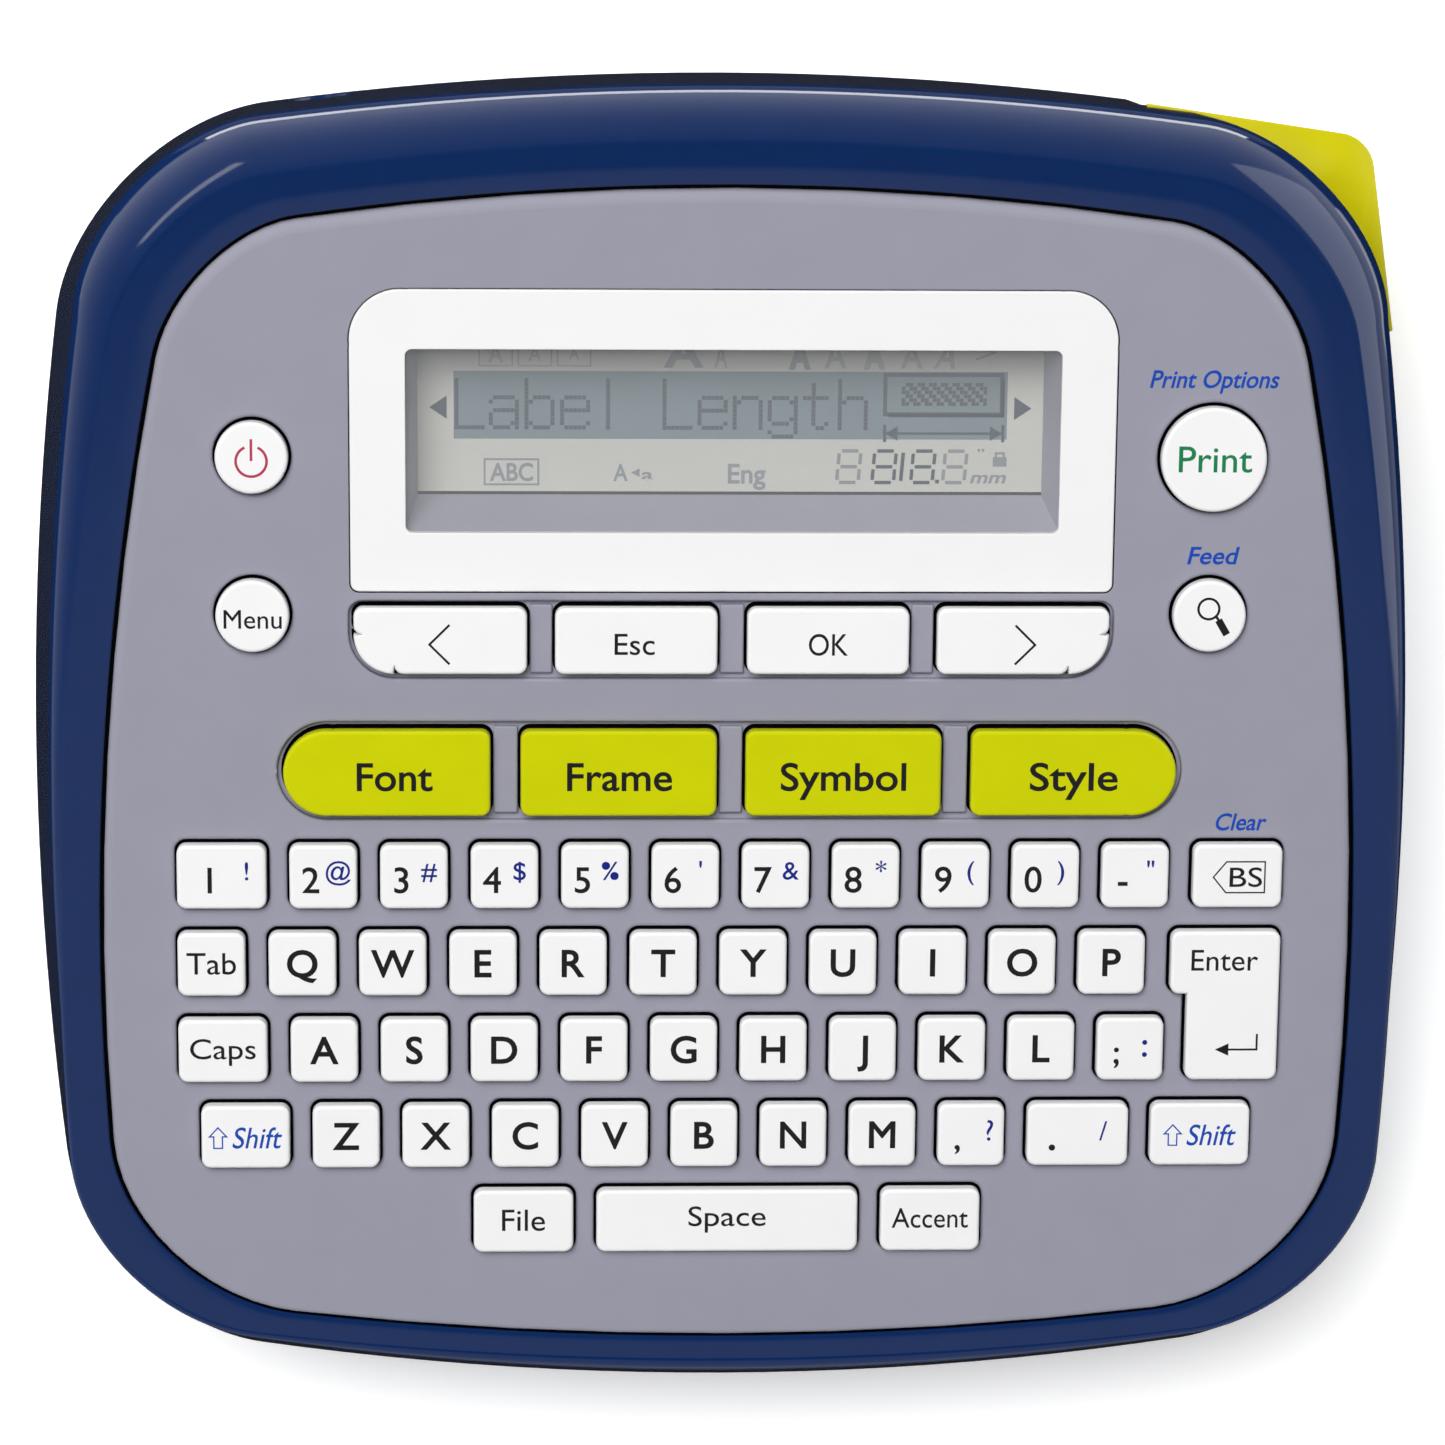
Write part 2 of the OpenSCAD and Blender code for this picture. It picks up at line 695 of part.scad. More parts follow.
module cutter_anvil() {
    color("silver") difference() {
        translate([34.6, cut_y - 1.4, 7.2]) cube([tape_x - 35.8, 3, 16.2]);
        translate([36.8, cut_y - 0.4, 7]) cube([5, 1.2, 17]);
    }
}

// ---- print mechanism --------------------------------------------------------------------

// Spur gear with straight-flanked teeth
module gear(teeth, low, high, bore) {
    r = gear_module * teeth / 2;
    slab(low, high) difference() {
        union() {
            circle(r - gear_module);
            for (i = [0:teeth - 1]) rotate(360 * i / teeth) polygon([
                [r - 1.4 * gear_module, -0.9 * gear_module], [r + 0.8 * gear_module, -0.4 * gear_module],
                [r + 0.8 * gear_module, 0.4 * gear_module], [r - 1.4 * gear_module, 0.9 * gear_module]
            ]);
        }
        if (bore > 0) circle(bore);
    }
}

module print_head() {
    color([0.85, 0.83, 0.78]) translate([tape_x - 1.1, platen_xy.y - 5, tape_z - 8]) cube([0.9, 10, 16]);
}

module heat_sink() {
    color("silver") {
        translate([tape_x - 3.1, platen_xy.y - 5.6, tape_z - 9]) cube([2, 11.2, mech_z - tape_z + 9]);
        translate([tape_x - 12, platen_xy.y - 5.6, mech_z - 1.8]) cube([10, 11.2, 1.8]);
    }
}

module platen_roller() {
    color([0.15, 0.15, 0.15]) translate([platen_xy.x, platen_xy.y, tape_z - 7]) difference() {
        cylinder(h = 14, r = platen_r);
        translate([0, 0, -1]) cylinder(h = 16, r = shaft_r);
    }
}

module platen_gear() {
    color("silver") disc(platen_xy, shaft_r, tape_z - 9.5, gear_z + gear_t);
    color("white") translate(platen_xy)
        rotate(mesh_phase(idler_teeth, platen_teeth, 0))
            gear(platen_teeth, gear_z, gear_z + gear_t, 0);
}

// Arm that carries the platen roller and swings about its own pin
holder_web = [holder_pivot - [1, 2.9], holder_pivot + [5, -2], holder_pivot + [6, 8], holder_pivot + [4, 8]];
module roller_holder() {
    arm_r = 3;
    color([0.15, 0.15, 0.17]) difference() {
        union() {
            for (z = [tape_z - 9.6, tape_z + 7.6]) slab(z, z + 2) {
                translate(platen_xy) circle(arm_r);
                translate(holder_pivot) circle(arm_r);
                polygon([
                    platen_xy - [arm_r, 0], holder_pivot - [arm_r, 0],
                    holder_pivot + [arm_r, 0], platen_xy + [arm_r, 0]
                ]);
                polygon(holder_web);
            }
            slab(tape_z - 9.6, tape_z + 9.6) polygon(holder_web);
        }
        disc(platen_xy, shaft_r + 0.08, 0, 40);
        disc(holder_pivot, shaft_r + 0.08, 0, 40);
    }
}

module holder_pin() {
    color("silver") disc(holder_pivot, shaft_r, tape_z - 10.6, mech_z + sheet_t);
}

module drive_motor() {
    color("silver") translate([motor_xy.x, motor_xy.y, 36.4]) {
        intersection() {
            cylinder(h = 16, r = 7.7);
            translate([-10, -6, 0]) cube([20, 12, 20]);
        }
        translate([0, 0, 16]) cylinder(h = 1.4, r = 2.6);
    }
}

module motor_pinion() {
    color("goldenrod") {
        translate(motor_xy) rotate(mesh_phase(idler_teeth, pinion_teeth, motor_angle))
            gear(pinion_teeth, gear_z, gear_z + gear_t, 0);
        disc(motor_xy, 1, gear_z + gear_t, 36.3);
    }
}

module idler_gear() {
    color("white") translate(idler_xy) gear(idler_teeth, gear_z, gear_z + gear_t, shaft_r + 0.08);
}

module ribbon_spindle() {
    color([0.9, 0.9, 0.88]) {
        translate(spindle_xy) rotate(mesh_phase(idler_teeth, spindle_teeth, spindle_angle))
            gear(spindle_teeth, gear_z, gear_z + gear_t, 0);
        difference() {
            disc(spindle_xy, 3, 9, gear_z + eps);
            for (a = [0, 60, 120]) translate([spindle_xy.x, spindle_xy.y, 8]) rotate(a)
                translate([2.4, -0.5, 0]) cube([2, 1, 12]);
        }
    }
}

// Sheet-metal ceiling of the cassette bay with the motor bracket and gear shaft
module mechanism_chassis() {
    left = motor_xy.x - 9;
    right = motor_xy.x + 8.6;
    bracket_z = 35.1;
    color([0.7, 0.7, 0.72]) difference() {
        union() {
            slab(mech_z, mech_z + sheet_t) box2d([left, 12, 57.6, 55.6]);
            slab(mech_z, mech_z + sheet_t) box2d([left, 50, right, 70]);
            disc(idler_xy, shaft_r, mech_z, gear_z + gear_t + 1);
            slab(bracket_z, bracket_z + sheet_t) box2d([left, 51, right, 70]);
            for (x = [left, right - sheet_t]) slab(mech_z, bracket_z + sheet_t)
                box2d([x, 66, x + sheet_t, 70]);
        }
        disc(motor_xy, 2.2, mech_z - 1, 40);
        disc(spindle_xy, 3.3, mech_z - 1, mech_z + 3);
        slab(mech_z - 1, mech_z + 3) box2d([41.4, 45.4, 55, 58]);
        disc(holder_pivot, shaft_r + eps, mech_z - 1, mech_z + 3);
    }
}

// ---- tape, power and fastenings ---------------------------------------------------------

module tape_cassette() {
    size = [56, 46, 17.6];
    corner = [tape_x - 1.4 - size.x, -4, floor_z + 1.9];
    color([0.25, 0.25, 0.28]) difference() {
        translate(corner) cube(size);
        translate(corner + [1.2, 1.2, 1.2]) cube(size - [2.4, 2.4, 2.4]);
        disc(spindle_xy, 4, 0, 30);
        disc([-2, 20], 6, 0, 30);
        translate([tape_x - 3.5, 38.6, 0]) cube([10, 10, 40]);
    }
}

module label_tape() {
    color("white") translate([tape_x - 0.12, 39.4, tape_z - tape_w / 2]) cube([0.15, 23, tape_w]);
}

module battery_cells() {
    for (i = [0:5]) {
        y = cell_y0 + i * cell_pitch;
        flip = i % 2 == 0 ? 1 : -1;
        color([0.2, 0.22, 0.26]) translate([cell_x - (cell_l - 1) / 2, y, cell_z]) rotate([0, 90, 0])
            cylinder(h = cell_l - 1, r = cell_d / 2);
        color("silver") translate([cell_x + flip * (cell_l - 1) / 2 - (flip > 0 ? eps : 1 - eps), y, cell_z])
            rotate([0, 90, 0]) cylinder(h = 1, r = 1.8);
    }
}

module battery_contacts() {
    color("silver") for (x = [battery_bay[0] + 0.05, battery_bay[2] - 0.45], i = [0:5])
        translate([x, cell_y0 + i * cell_pitch - 4.2, cell_z - 4]) cube([0.4, 8.4, 8]);
}

module dc_jack() {
    size = [9, 11, 10];
    color([0.1, 0.1, 0.1]) difference() {
        translate([jack_xy.x - size.x / 2, jack_xy.y - size.y, jack_z - size.z / 2]) cube(size);
        translate([jack_xy.x, jack_xy.y - 9, jack_z]) rotate([-90, 0, 0]) cylinder(h = 12, r = 2.75);
    }
    color("silver") translate([jack_xy.x, jack_xy.y - 10, jack_z]) rotate([-90, 0, 0])
        cylinder(h = 9, r = 1);
}

module rubber_feet() {
    color([0.15, 0.15, 0.15]) for (p = foot_xy) disc(p, foot_r, 0, base_z + 0.75);
}

module housing_screws() {
    color("silver") for (p = boss_xy) {
        disc(p, screw_r, screw_seat - eps, screw_top);
        disc(p, screw_head_r, screw_seat - 2, screw_seat);
    }
}

top_housing();
bottom_housing();
back_cover();
keyboard_panel();
display_bezel();
display_window();
lcd_holder();
lcd_module();
white_keys([k_power]);  // key_power
white_keys([k_menu]);  // key_menu
white_keys([k_print]);  // key_print
white_keys([k_preview]);  // key_preview
white_keys([k_left]);  // key_left
white_keys([k_escape]);  // key_escape
white_keys([k_ok]);  // key_ok
white_keys([k_right]);  // key_right
lime_key(k_font);  // key_font
lime_key(k_frame);  // key_frame
lime_key(k_symbol);  // key_symbol
lime_key(k_style);  // key_style
white_keys([k_backspace]);  // key_backspace
white_keys([k_tab]);  // key_tab
white_keys([k_enter]);  // key_enter
white_keys([k_caps]);  // key_caps
white_keys([k_shift_left]);  // key_shift_left
white_keys([k_shift_right]);  // key_shift_right
white_keys([k_file]);  // key_file
white_keys([k_space]);  // key_space
white_keys([k_accent]);  // key_accent
white_keys(number_keys);  // keys_number_row
white_keys(top_keys);  // keys_top_row
white_keys(home_keys);  // keys_home_row
white_keys(bottom_keys);  // keys_bottom_row
keypad_membrane();
main_board();
cutter_lever();
lever_pin();
blade_carriage();
cutter_blade();
carriage_spring();
cutter_guide();
cutter_anvil();
print_head();
heat_sink();
platen_roller();
platen_gear();
roller_holder();
holder_pin();
drive_motor();
motor_pinion();
idler_gear();
ribbon_spindle();
mechanism_chassis();
tape_cassette();
label_tape();
battery_cells();
battery_contacts();
dc_jack();
rubber_feet();
housing_screws();
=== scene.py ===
"""Looks of the desktop label maker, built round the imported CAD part.

Lengths in the tables below are millimetres, and MM turns them into metres. The sloping face has
its own axes: u across, v up the slope and n out of the face, with n = 0 on the keyboard panel.
"""

import json
import math

import bmesh
import bpy
import numpy as np
from mathutils import Matrix, Vector


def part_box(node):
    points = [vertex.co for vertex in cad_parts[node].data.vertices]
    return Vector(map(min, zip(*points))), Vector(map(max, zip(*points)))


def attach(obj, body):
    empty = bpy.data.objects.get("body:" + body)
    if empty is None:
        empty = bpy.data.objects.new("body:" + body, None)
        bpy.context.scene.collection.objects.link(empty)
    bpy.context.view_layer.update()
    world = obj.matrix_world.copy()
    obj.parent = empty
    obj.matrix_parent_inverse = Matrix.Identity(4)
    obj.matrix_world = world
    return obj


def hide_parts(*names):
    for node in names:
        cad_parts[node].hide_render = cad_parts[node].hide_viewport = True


MM = 0.001

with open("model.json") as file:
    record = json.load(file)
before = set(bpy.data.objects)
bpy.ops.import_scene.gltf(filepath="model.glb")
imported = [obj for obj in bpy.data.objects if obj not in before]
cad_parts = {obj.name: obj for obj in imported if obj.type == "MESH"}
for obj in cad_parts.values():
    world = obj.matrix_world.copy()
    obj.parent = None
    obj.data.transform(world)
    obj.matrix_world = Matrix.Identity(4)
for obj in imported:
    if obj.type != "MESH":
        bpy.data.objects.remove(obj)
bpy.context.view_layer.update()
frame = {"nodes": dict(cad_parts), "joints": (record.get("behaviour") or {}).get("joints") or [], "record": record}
scene = bpy.context.scene
joint = {j["name"]: j for j in frame["joints"]}


def mm_box(node):
    """Corners of a CAD node's box in millimetres."""
    lo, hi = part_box(node)
    return np.array(lo) / MM, np.array(hi) / MM


# ---- frame of the sloping face ----

NORMAL = -Vector(joint["key_ok_press"]["axis"]).normalized()
ACROSS = Vector((1, 0, 0))
UPHILL = NORMAL.cross(ACROSS)
panel_top = max(v.co.dot(NORMAL) for v in frame["nodes"]["keyboard_panel"].data.vertices) / MM
FACE_Z = panel_top / NORMAL.z
ORIGIN = Vector((0, 0, FACE_Z))
SLOPE = -NORMAL.y / NORMAL.z


def on_face(u, v, n=0.0):
    """Point in metres at face coordinates in millimetres."""
    return (ORIGIN + ACROSS * u + UPHILL * v + NORMAL * n) * MM


def to_face(p):
    """Face coordinates in millimetres of a point in metres."""
    d = p / MM - ORIGIN
    return d.dot(ACROSS), d.dot(UPHILL), d.dot(NORMAL)


# ---- camera ----

EYE = (-24, 0, 635.7)
TARGET = (0, 0, 27.7)
LENS = 126.1


def make_camera():
    """Nearly straight above, from a little to the left."""
    eye = Vector(EYE) * MM
    target = Vector(TARGET) * MM
    data = bpy.data.cameras.new("camera")
    data.lens = LENS
    data.sensor_width = 36
    data.clip_start = 0.02
    data.clip_end = 20
    cam = bpy.data.objects.new("camera", data)
    forward = (target - eye).normalized()
    right = forward.cross(Vector((0, 1, 0))).normalized()
    up = right.cross(forward)
    turn = Matrix((right, up, -forward)).transposed().to_4x4()
    cam.matrix_world = Matrix.Translation(eye) @ turn
    scene.collection.objects.link(cam)
    scene.camera = cam


make_camera()
scene.view_settings.view_transform = "Standard"


# ---- materials ----

def new_material(name):
    mat = bpy.data.materials.new(name)
    mat.use_nodes = True
    tree = mat.node_tree
    return mat, tree, tree.nodes["Principled BSDF"]


def noise_node(tree, scale, detail=2.0, rough=0.5, stretch=None):
    """Noise in the object's own coordinates, drawn out along one axis if stretched."""
    coords = tree.nodes.new("ShaderNodeTexCoord")
    noise = tree.nodes.new("ShaderNodeTexNoise")
    noise.inputs["Scale"].default_value = scale
    noise.inputs["Detail"].default_value = detail
    noise.inputs["Roughness"].default_value = rough
    if stretch:
        mapping = tree.nodes.new("ShaderNodeMapping")
        mapping.inputs["Scale"].default_value = stretch
        tree.links.new(coords.outputs["Object"], mapping.inputs["Vector"])
        tree.links.new(mapping.outputs["Vector"], noise.inputs["Vector"])
    else:
        tree.links.new(coords.outputs["Object"], noise.inputs["Vector"])
    return noise


def ramp_node(tree, source, stops):
    """Colour ramp through (place, colour) stops, from low to high."""
    ramp = tree.nodes.new("ShaderNodeValToRGB")
    ends = ramp.color_ramp.elements
    for end, (place, colour) in ((ends[0], stops[0]), (ends[1], stops[-1])):
        end.position = place
        end.color = (*colour, 1)
    for place, colour in stops[1:-1]:
        ends.new(place).color = (*colour, 1)
    tree.links.new(source, ramp.inputs["Fac"])
    return ramp


def plastic(name, colour, rough, spread=0.05, grain=2500, bump=0.1, height=0.02, specular=0.5,
            metal=0.0, stretch=None, cloud=180):
    """Moulded or turned material: a broad drift of tone, finer grain in the gloss, and a bump."""
    mat, tree, bsdf = new_material(name)
    drift = noise_node(tree, cloud, 3.0)
    low = [c * (1 - spread) for c in colour]
    high = [min(1.0, c * (1 + spread)) for c in colour]
    tone = ramp_node(tree, drift.outputs["Fac"], [(0.3, low), (0.7, high)])
    tree.links.new(tone.outputs["Color"], bsdf.inputs["Base Color"])
    fine = noise_node(tree, grain, 2.0, 0.6, stretch)
    gloss = ramp_node(tree, fine.outputs["Fac"], [
        (0.3, [rough * 0.88] * 3), (0.7, [min(1.0, rough * 1.12)] * 3)])
    tree.links.new(gloss.outputs["Color"], bsdf.inputs["Roughness"])
    if bump:
        relief = tree.nodes.new("ShaderNodeBump")
        relief.inputs["Strength"].default_value = bump
        relief.inputs["Distance"].default_value = height * MM
        tree.links.new(fine.outputs["Fac"], relief.inputs["Height"])
        tree.links.new(relief.outputs["Normal"], bsdf.inputs["Normal"])
    bsdf.inputs["Metallic"].default_value = metal
    bsdf.inputs["Specular IOR Level"].default_value = specular
    return mat


# Finish of each material: colour, roughness, spread of tone, grain, bump and its height, then
# where they differ from the usual the specular level, metal and the stretch of the grain
FINISHES = {
    "navy_gloss": ((0.0036, 0.0195, 0.09), 0.07, 0.03, 900, 0.012, 0.01),
    "navy_matte": ((0.011, 0.026, 0.085), 0.42, 0.05, 2600, 0.35, 0.03),
    "panel_grey": ((0.268, 0.265, 0.325), 0.5, 0.015, 3800, 0.22, 0.02, 0.4),
    "white_gloss": ((0.8, 0.8, 0.8), 0.16, 0.006, 1200, 0.01, 0.01),
    "key_white": ((0.8, 0.795, 0.8), 0.42, 0.01, 3200, 0.08, 0.015, 0.4),
    "key_lime": ((0.52, 0.545, 0.0005), 0.4, 0.02, 3200, 0.1, 0.015, 0.15),
    # Painted shade: black put on the hidden walls under the panel and inside the housing, so that the gaps round
    # the keys and the panel show dark
    "painted_gap_shade": ((0.0022, 0.0022, 0.0026), 0.7, 0.1, 3000, 0.1, 0.02, 0.15),
    "legend_black": ((0.005, 0.005, 0.006), 0.5, 0.1, 4000, 0.05, 0.01, 0.3),
    "legend_blue": ((0.003, 0.052, 0.36), 0.5, 0.05, 4000, 0.05, 0.01, 0.3),
    "symbol_blue": ((0.003, 0.012, 0.18), 0.5, 0.05, 4000, 0.05, 0.01, 0.3),
    "legend_green": ((0.003, 0.18, 0.06), 0.5, 0.05, 4000, 0.05, 0.01, 0.3),
    "legend_red": ((0.39, 0.032, 0.075), 0.5, 0.05, 4000, 0.05, 0.01, 0.3),
    "silicone": ((0.5, 0.5, 0.5), 0.55, 0.03, 1500, 0.15, 0.03),
    "board_green": ((0.02, 0.14, 0.05), 0.35, 0.12, 1400, 0.2, 0.02),
    "lever_lime": ((0.54, 0.49, 0.002), 0.22, 0.015, 1400, 0.03, 0.01, 0.25),
    "plated_steel": ((0.55, 0.55, 0.57), 0.3, 0.06, 1800, 0.12, 0.01, 0.5, 1.0, (0.1, 1, 1)),
    "black_plastic": ((0.018, 0.018, 0.021), 0.45, 0.1, 2400, 0.2, 0.02),
    "head_ceramic": ((0.72, 0.68, 0.6), 0.3, 0.04, 1500, 0.1, 0.01),
    "aluminium": ((0.66, 0.66, 0.68), 0.35, 0.04, 2200, 0.15, 0.01, 0.5, 1.0, (1, 0.1, 1)),
    "roller_rubber": ((0.022, 0.022, 0.023), 0.68, 0.1, 2200, 0.25, 0.03),
    "gear_white": ((0.74, 0.73, 0.69), 0.4, 0.03, 2000, 0.08, 0.01),
    "brass": ((0.6, 0.42, 0.14), 0.28, 0.05, 2000, 0.08, 0.01, 0.5, 1.0),
    "tape_white": ((0.86, 0.86, 0.87), 0.25, 0.02, 2500, 0.05, 0.01),
    "cell_wrap": ((0.05, 0.06, 0.09), 0.25, 0.2, 1500, 0.04, 0.01),
    "lcd_black": ((0.01, 0.011, 0.012), 0.3, 0.1, 2000, 0.03, 0.01),
    "lcd_ink": ((0.047, 0.062, 0.082), 0.4, 0.1, 2500, 0.02, 0.005, 0.2),
    "lcd_faint": ((0.28, 0.285, 0.27), 0.4, 0.05, 2500, 0.02, 0.005, 0.2),
    "lcd_mid": ((0.19, 0.205, 0.225), 0.4, 0.05, 2500, 0.02, 0.005, 0.2),
    "lcd_band": ((0.14, 0.182, 0.205), 0.35, 0.03, 2500, 0.02, 0.005, 0.2),
    "display_glass": ((0.43, 0.43, 0.395), 0.3, 0.012, 2500, 0.02, 0.005, 0.3),
}
M = {name: plastic(name, *finish) for name, finish in FINISHES.items()}


def clear_material():
    """Thin clear window, almost invisible from above."""
    mat, tree, bsdf = new_material("clear_window")
    fine = noise_node(tree, 600, 2.0)
    gloss = ramp_node(tree, fine.outputs["Fac"], [(0.3, [0.03] * 3), (0.7, [0.06] * 3)])
    tree.links.new(gloss.outputs["Color"], bsdf.inputs["Roughness"])
    bsdf.inputs["Base Color"].default_value = (0.9, 0.92, 0.93, 1)
    bsdf.inputs["Alpha"].default_value = 0.07
    return mat


M["clear_window"] = clear_material()


# ---- mesh helpers ----

# Edges sharper than this, in radians, are shaded as edges; the shell's limit is lower
CREASE = 0.6
SHELL_CREASE = 0.5


def crease(mesh, limit):
    """Marks the sharp edges of a mesh, and those between its flat and its smooth faces."""
    bm = bmesh.new()
    bm.from_mesh(mesh)
    for e in bm.edges:
        if len(e.link_faces) == 2:
            a, b = e.link_faces
            e.smooth = a.smooth == b.smooth and e.calc_face_angle(0) < limit
    bm.to_mesh(mesh)
    bm.free()
    mesh.update()


class Shape:
    """Collects points and faces, then becomes one object riding a body."""

    def __init__(self):
        self.points = []
        self.faces = []
        self.flat = []
        self.finish = []

    def ring(self, points):
        start = len(self.points)
        self.points.extend(points)
        return list(range(start, len(self.points)))

    def face(self, ids, finish=0, flat=False):
        self.faces.append(ids)
        self.finish.append(finish)
        self.flat.append(flat)

    def band(self, low, high, finish=0, flat=False):
        """Quads between two closed rings; outwards when the rings run anticlockwise, low first."""
        count = len(low)
        for i in range(count):
            j = (i + 1) % count
            self.face([low[i], low[j], high[j], high[i]], finish, flat)

    def round_over(self, last, loop, profile):
        """Bands from ring last up an (inset, height) profile of a face outline."""
        for inset, n in profile:
            ring = self.ring(lift(offset(loop, -inset), n))
            self.band(last, ring)
            last = ring
        return last

    def fill(self, rings, finish=0, up=True):
        """Flat region between an outer ring and the rings of its holes."""
        loops = [[to_face(self.points[i])[:2] for i in ids] for ids in rings]
        order = [i for ids in rings for i in ids]
        for tri in fill_loops(loops):
            ids = [order[k] for k in tri]
            self.face(ids if up else ids[::-1], finish, True)

    def build(self, name, body, mats, slot=None, replaces=()):
        mesh = bpy.data.meshes.new(name)
        mesh.from_pydata([tuple(p) for p in self.points], [], self.faces)
        for m in mats:
            mesh.materials.append(M[m])
        mesh.polygons.foreach_set("material_index", self.finish)
        mesh.polygons.foreach_set("use_smooth", [not f for f in self.flat])
        crease(mesh, CREASE)
        return place(mesh, name, body, slot or mats[0], replaces)


def place(mesh, name, body, slot, replaces=()):
    """Puts a mesh in the scene as a piece of a body."""
    obj = bpy.data.objects.new(name, mesh)
    scene.collection.objects.link(obj)
    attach(obj, body)
    if replaces:
        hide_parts(*replaces)
    return obj


# Outlines are enlarged while they are filled, so that small letters keep all their points
FILL_SCALE = 100


def fill_loops(loops):
    """Anticlockwise triangles between 2-D outlines; their indices run through all loops."""
    bm = bmesh.new()
    edges = []
    index = {}
    for loop in loops:
        made = [bm.verts.new((x * FILL_SCALE, y * FILL_SCALE, 0)) for x, y in loop]
        for v in made:
            index[v] = len(index)
        edges += [bm.edges.new((made[k - 1], made[k])) for k in range(len(made))]
    filled = bmesh.ops.triangle_fill(bm, use_beauty=True, use_dissolve=False, edges=edges,
                                     normal=(0, 0, 1))
    faces = []
    for f in filled["geom"]:
        if isinstance(f, bmesh.types.BMFace):
            f.normal_update()
            ids = [index[v] for v in f.verts]
            faces.append(ids if f.normal.z > 0 else ids[::-1])
    bm.free()
    return faces


def offset(loop, d):
    """Outline moved outwards by d; loops run anticlockwise. d may differ from point to point."""
    p = np.asarray(loop, float)
    back = p - np.roll(p, 1, 0)
    ahead = np.roll(p, -1, 0) - p
    back /= np.linalg.norm(back, axis=1)[:, None]
    ahead /= np.linalg.norm(ahead, axis=1)[:, None]
    n1 = np.stack([back[:, 1], -back[:, 0]], 1)
    n2 = np.stack([ahead[:, 1], -ahead[:, 0]], 1)
    mitre = (n1 + n2) / np.maximum(0.35, 1 + (n1 * n2).sum(1))[:, None]
    return p + mitre * np.reshape(d, (-1, 1))


def lift(loop, n):
    """Ring of 3-D points from a face outline at height n, one for all or one per point."""
    heights = np.broadcast_to(n, (len(loop),))
    return [on_face(u, v, h) for (u, v), h in zip(loop, heights)]


def area(loop):
    """Signed area, above zero when the outline runs anticlockwise."""
    p = np.asarray(loop)
    x, y = p[:, 0], p[:, 1]
    return 0.5 * float(np.sum(x * np.roll(y, -1) - y * np.roll(x, -1)))


def flat_loops(node, level):
    """Outlines of a CAD node's faces at a face height: anticlockwise outsides, clockwise holes."""
    mesh = frame["nodes"][node].data
    uvn = [to_face(v.co) for v in mesh.vertices]
    key = [(round(u, 3), round(v, 3)) for u, v, n in uvn]
    edges = set()
    for poly in mesh.polygons:
        if poly.normal.dot(NORMAL) > 0.999 and all(
                abs(uvn[i][2] - level) < 0.02 for i in poly.vertices):
            ids = [key[i] for i in poly.vertices]
            edges.update((ids[k - 1], ids[k]) for k in range(len(ids)))
    return [simplify(loop, 0.02) for loop in chains(edges)]


def chains(edges):
    """Closed chains of the directed edges that have no opposite edge."""
    border = {a: b for a, b in edges if (b, a) not in edges}
    loops = []
    while border:
        first, here = min(border.items())
        loop = [first]
        del border[first]
        while here != first:
            loop.append(here)
            here = border.pop(here)
        loops.append(loop)
    return loops


def simplify(loop, least):
    """Leaves out points closer than least to the one before."""
    kept = [loop[0]]
    for p in loop[1:]:
        if math.dist(p, kept[-1]) > least:
            kept.append(p)
    if math.dist(kept[0], kept[-1]) <= least:
        kept.pop()
    return kept


def arc(cx, cy, r, start, end, steps):
    """Points of an arc between two angles in degrees, both ends included."""
    return [(cx + r * math.cos(math.radians(start + (end - start) * i / steps)),
             cy + r * math.sin(math.radians(start + (end - start) * i / steps)))
            for i in range(steps + 1)]


def rounded_box(x0, y0, x1, y1, radii, steps=8):
    """Anticlockwise outline with radii at back right, back left, front left and front right."""
    a, b, c, d = radii
    return (arc(x1 - a, y1 - a, a, 0, 90, steps) + arc(x0 + b, y1 - b, b, 90, 180, steps)
            + arc(x0 + c, y0 + c, c, 180, 270, steps) + arc(x1 - d, y0 + d, d, 270, 360, steps))


def rounded_profile(r, top, steps=5):
    """(inset, height) from the side wall round the edge onto the flat top."""
    return [(r * (1 - math.cos(a)), top - r + r * math.sin(a))
            for a in [math.pi / 2 * k / steps for k in range(steps + 1)]]


# ---- keys ----

KEY_RISE = 1.5
KEY_EDGE = 0.42
GAP = 0.3
# Flange under the panel that keeps a key in
SKIRT = -2.3
SKIRT_OUT = 0.8
SKIRT_T = 0.9
NAV_KEYS = ["key_left", "key_escape", "key_ok", "key_right"]
LIME_KEYS = ["key_font", "key_frame", "key_symbol", "key_style"]
key_nodes = sorted(n for n in frame["nodes"] if n.startswith(("key_", "keys_")))
key_tops = {n: sorted(flat_loops(n, KEY_RISE), key=lambda loop: min(loop)[0]) for n in key_nodes}


def build_keys():
    """Keycaps with rounded edges; the part below the panel is painted black, as shade for the gaps round the keys.
    """
    for node, loops in key_tops.items():
        shape = Shape()
        for loop in loops:
            foot = shape.ring(lift(offset(loop, SKIRT_OUT), SKIRT - SKIRT_T))
            shape.fill([foot], 1, False)
            wide = shape.ring(lift(offset(loop, SKIRT_OUT), SKIRT))
            shape.band(foot, wide, 1)
            low = shape.ring(lift(loop, SKIRT))
            shape.band(wide, low, 1, True)
            waist = shape.ring(lift(loop, -0.05))
            shape.band(low, waist, 1)
            shape.fill([shape.round_over(waist, loop, rounded_profile(KEY_EDGE, KEY_RISE))])
        mats = ["key_lime" if node in LIME_KEYS else "key_white", "painted_gap_shade"]
        shape.build("cap_" + node, node, mats, mats[0], [node])


# ---- keyboard panel ----

TRENCH = -1.0
PANEL_FOOT = -2.0
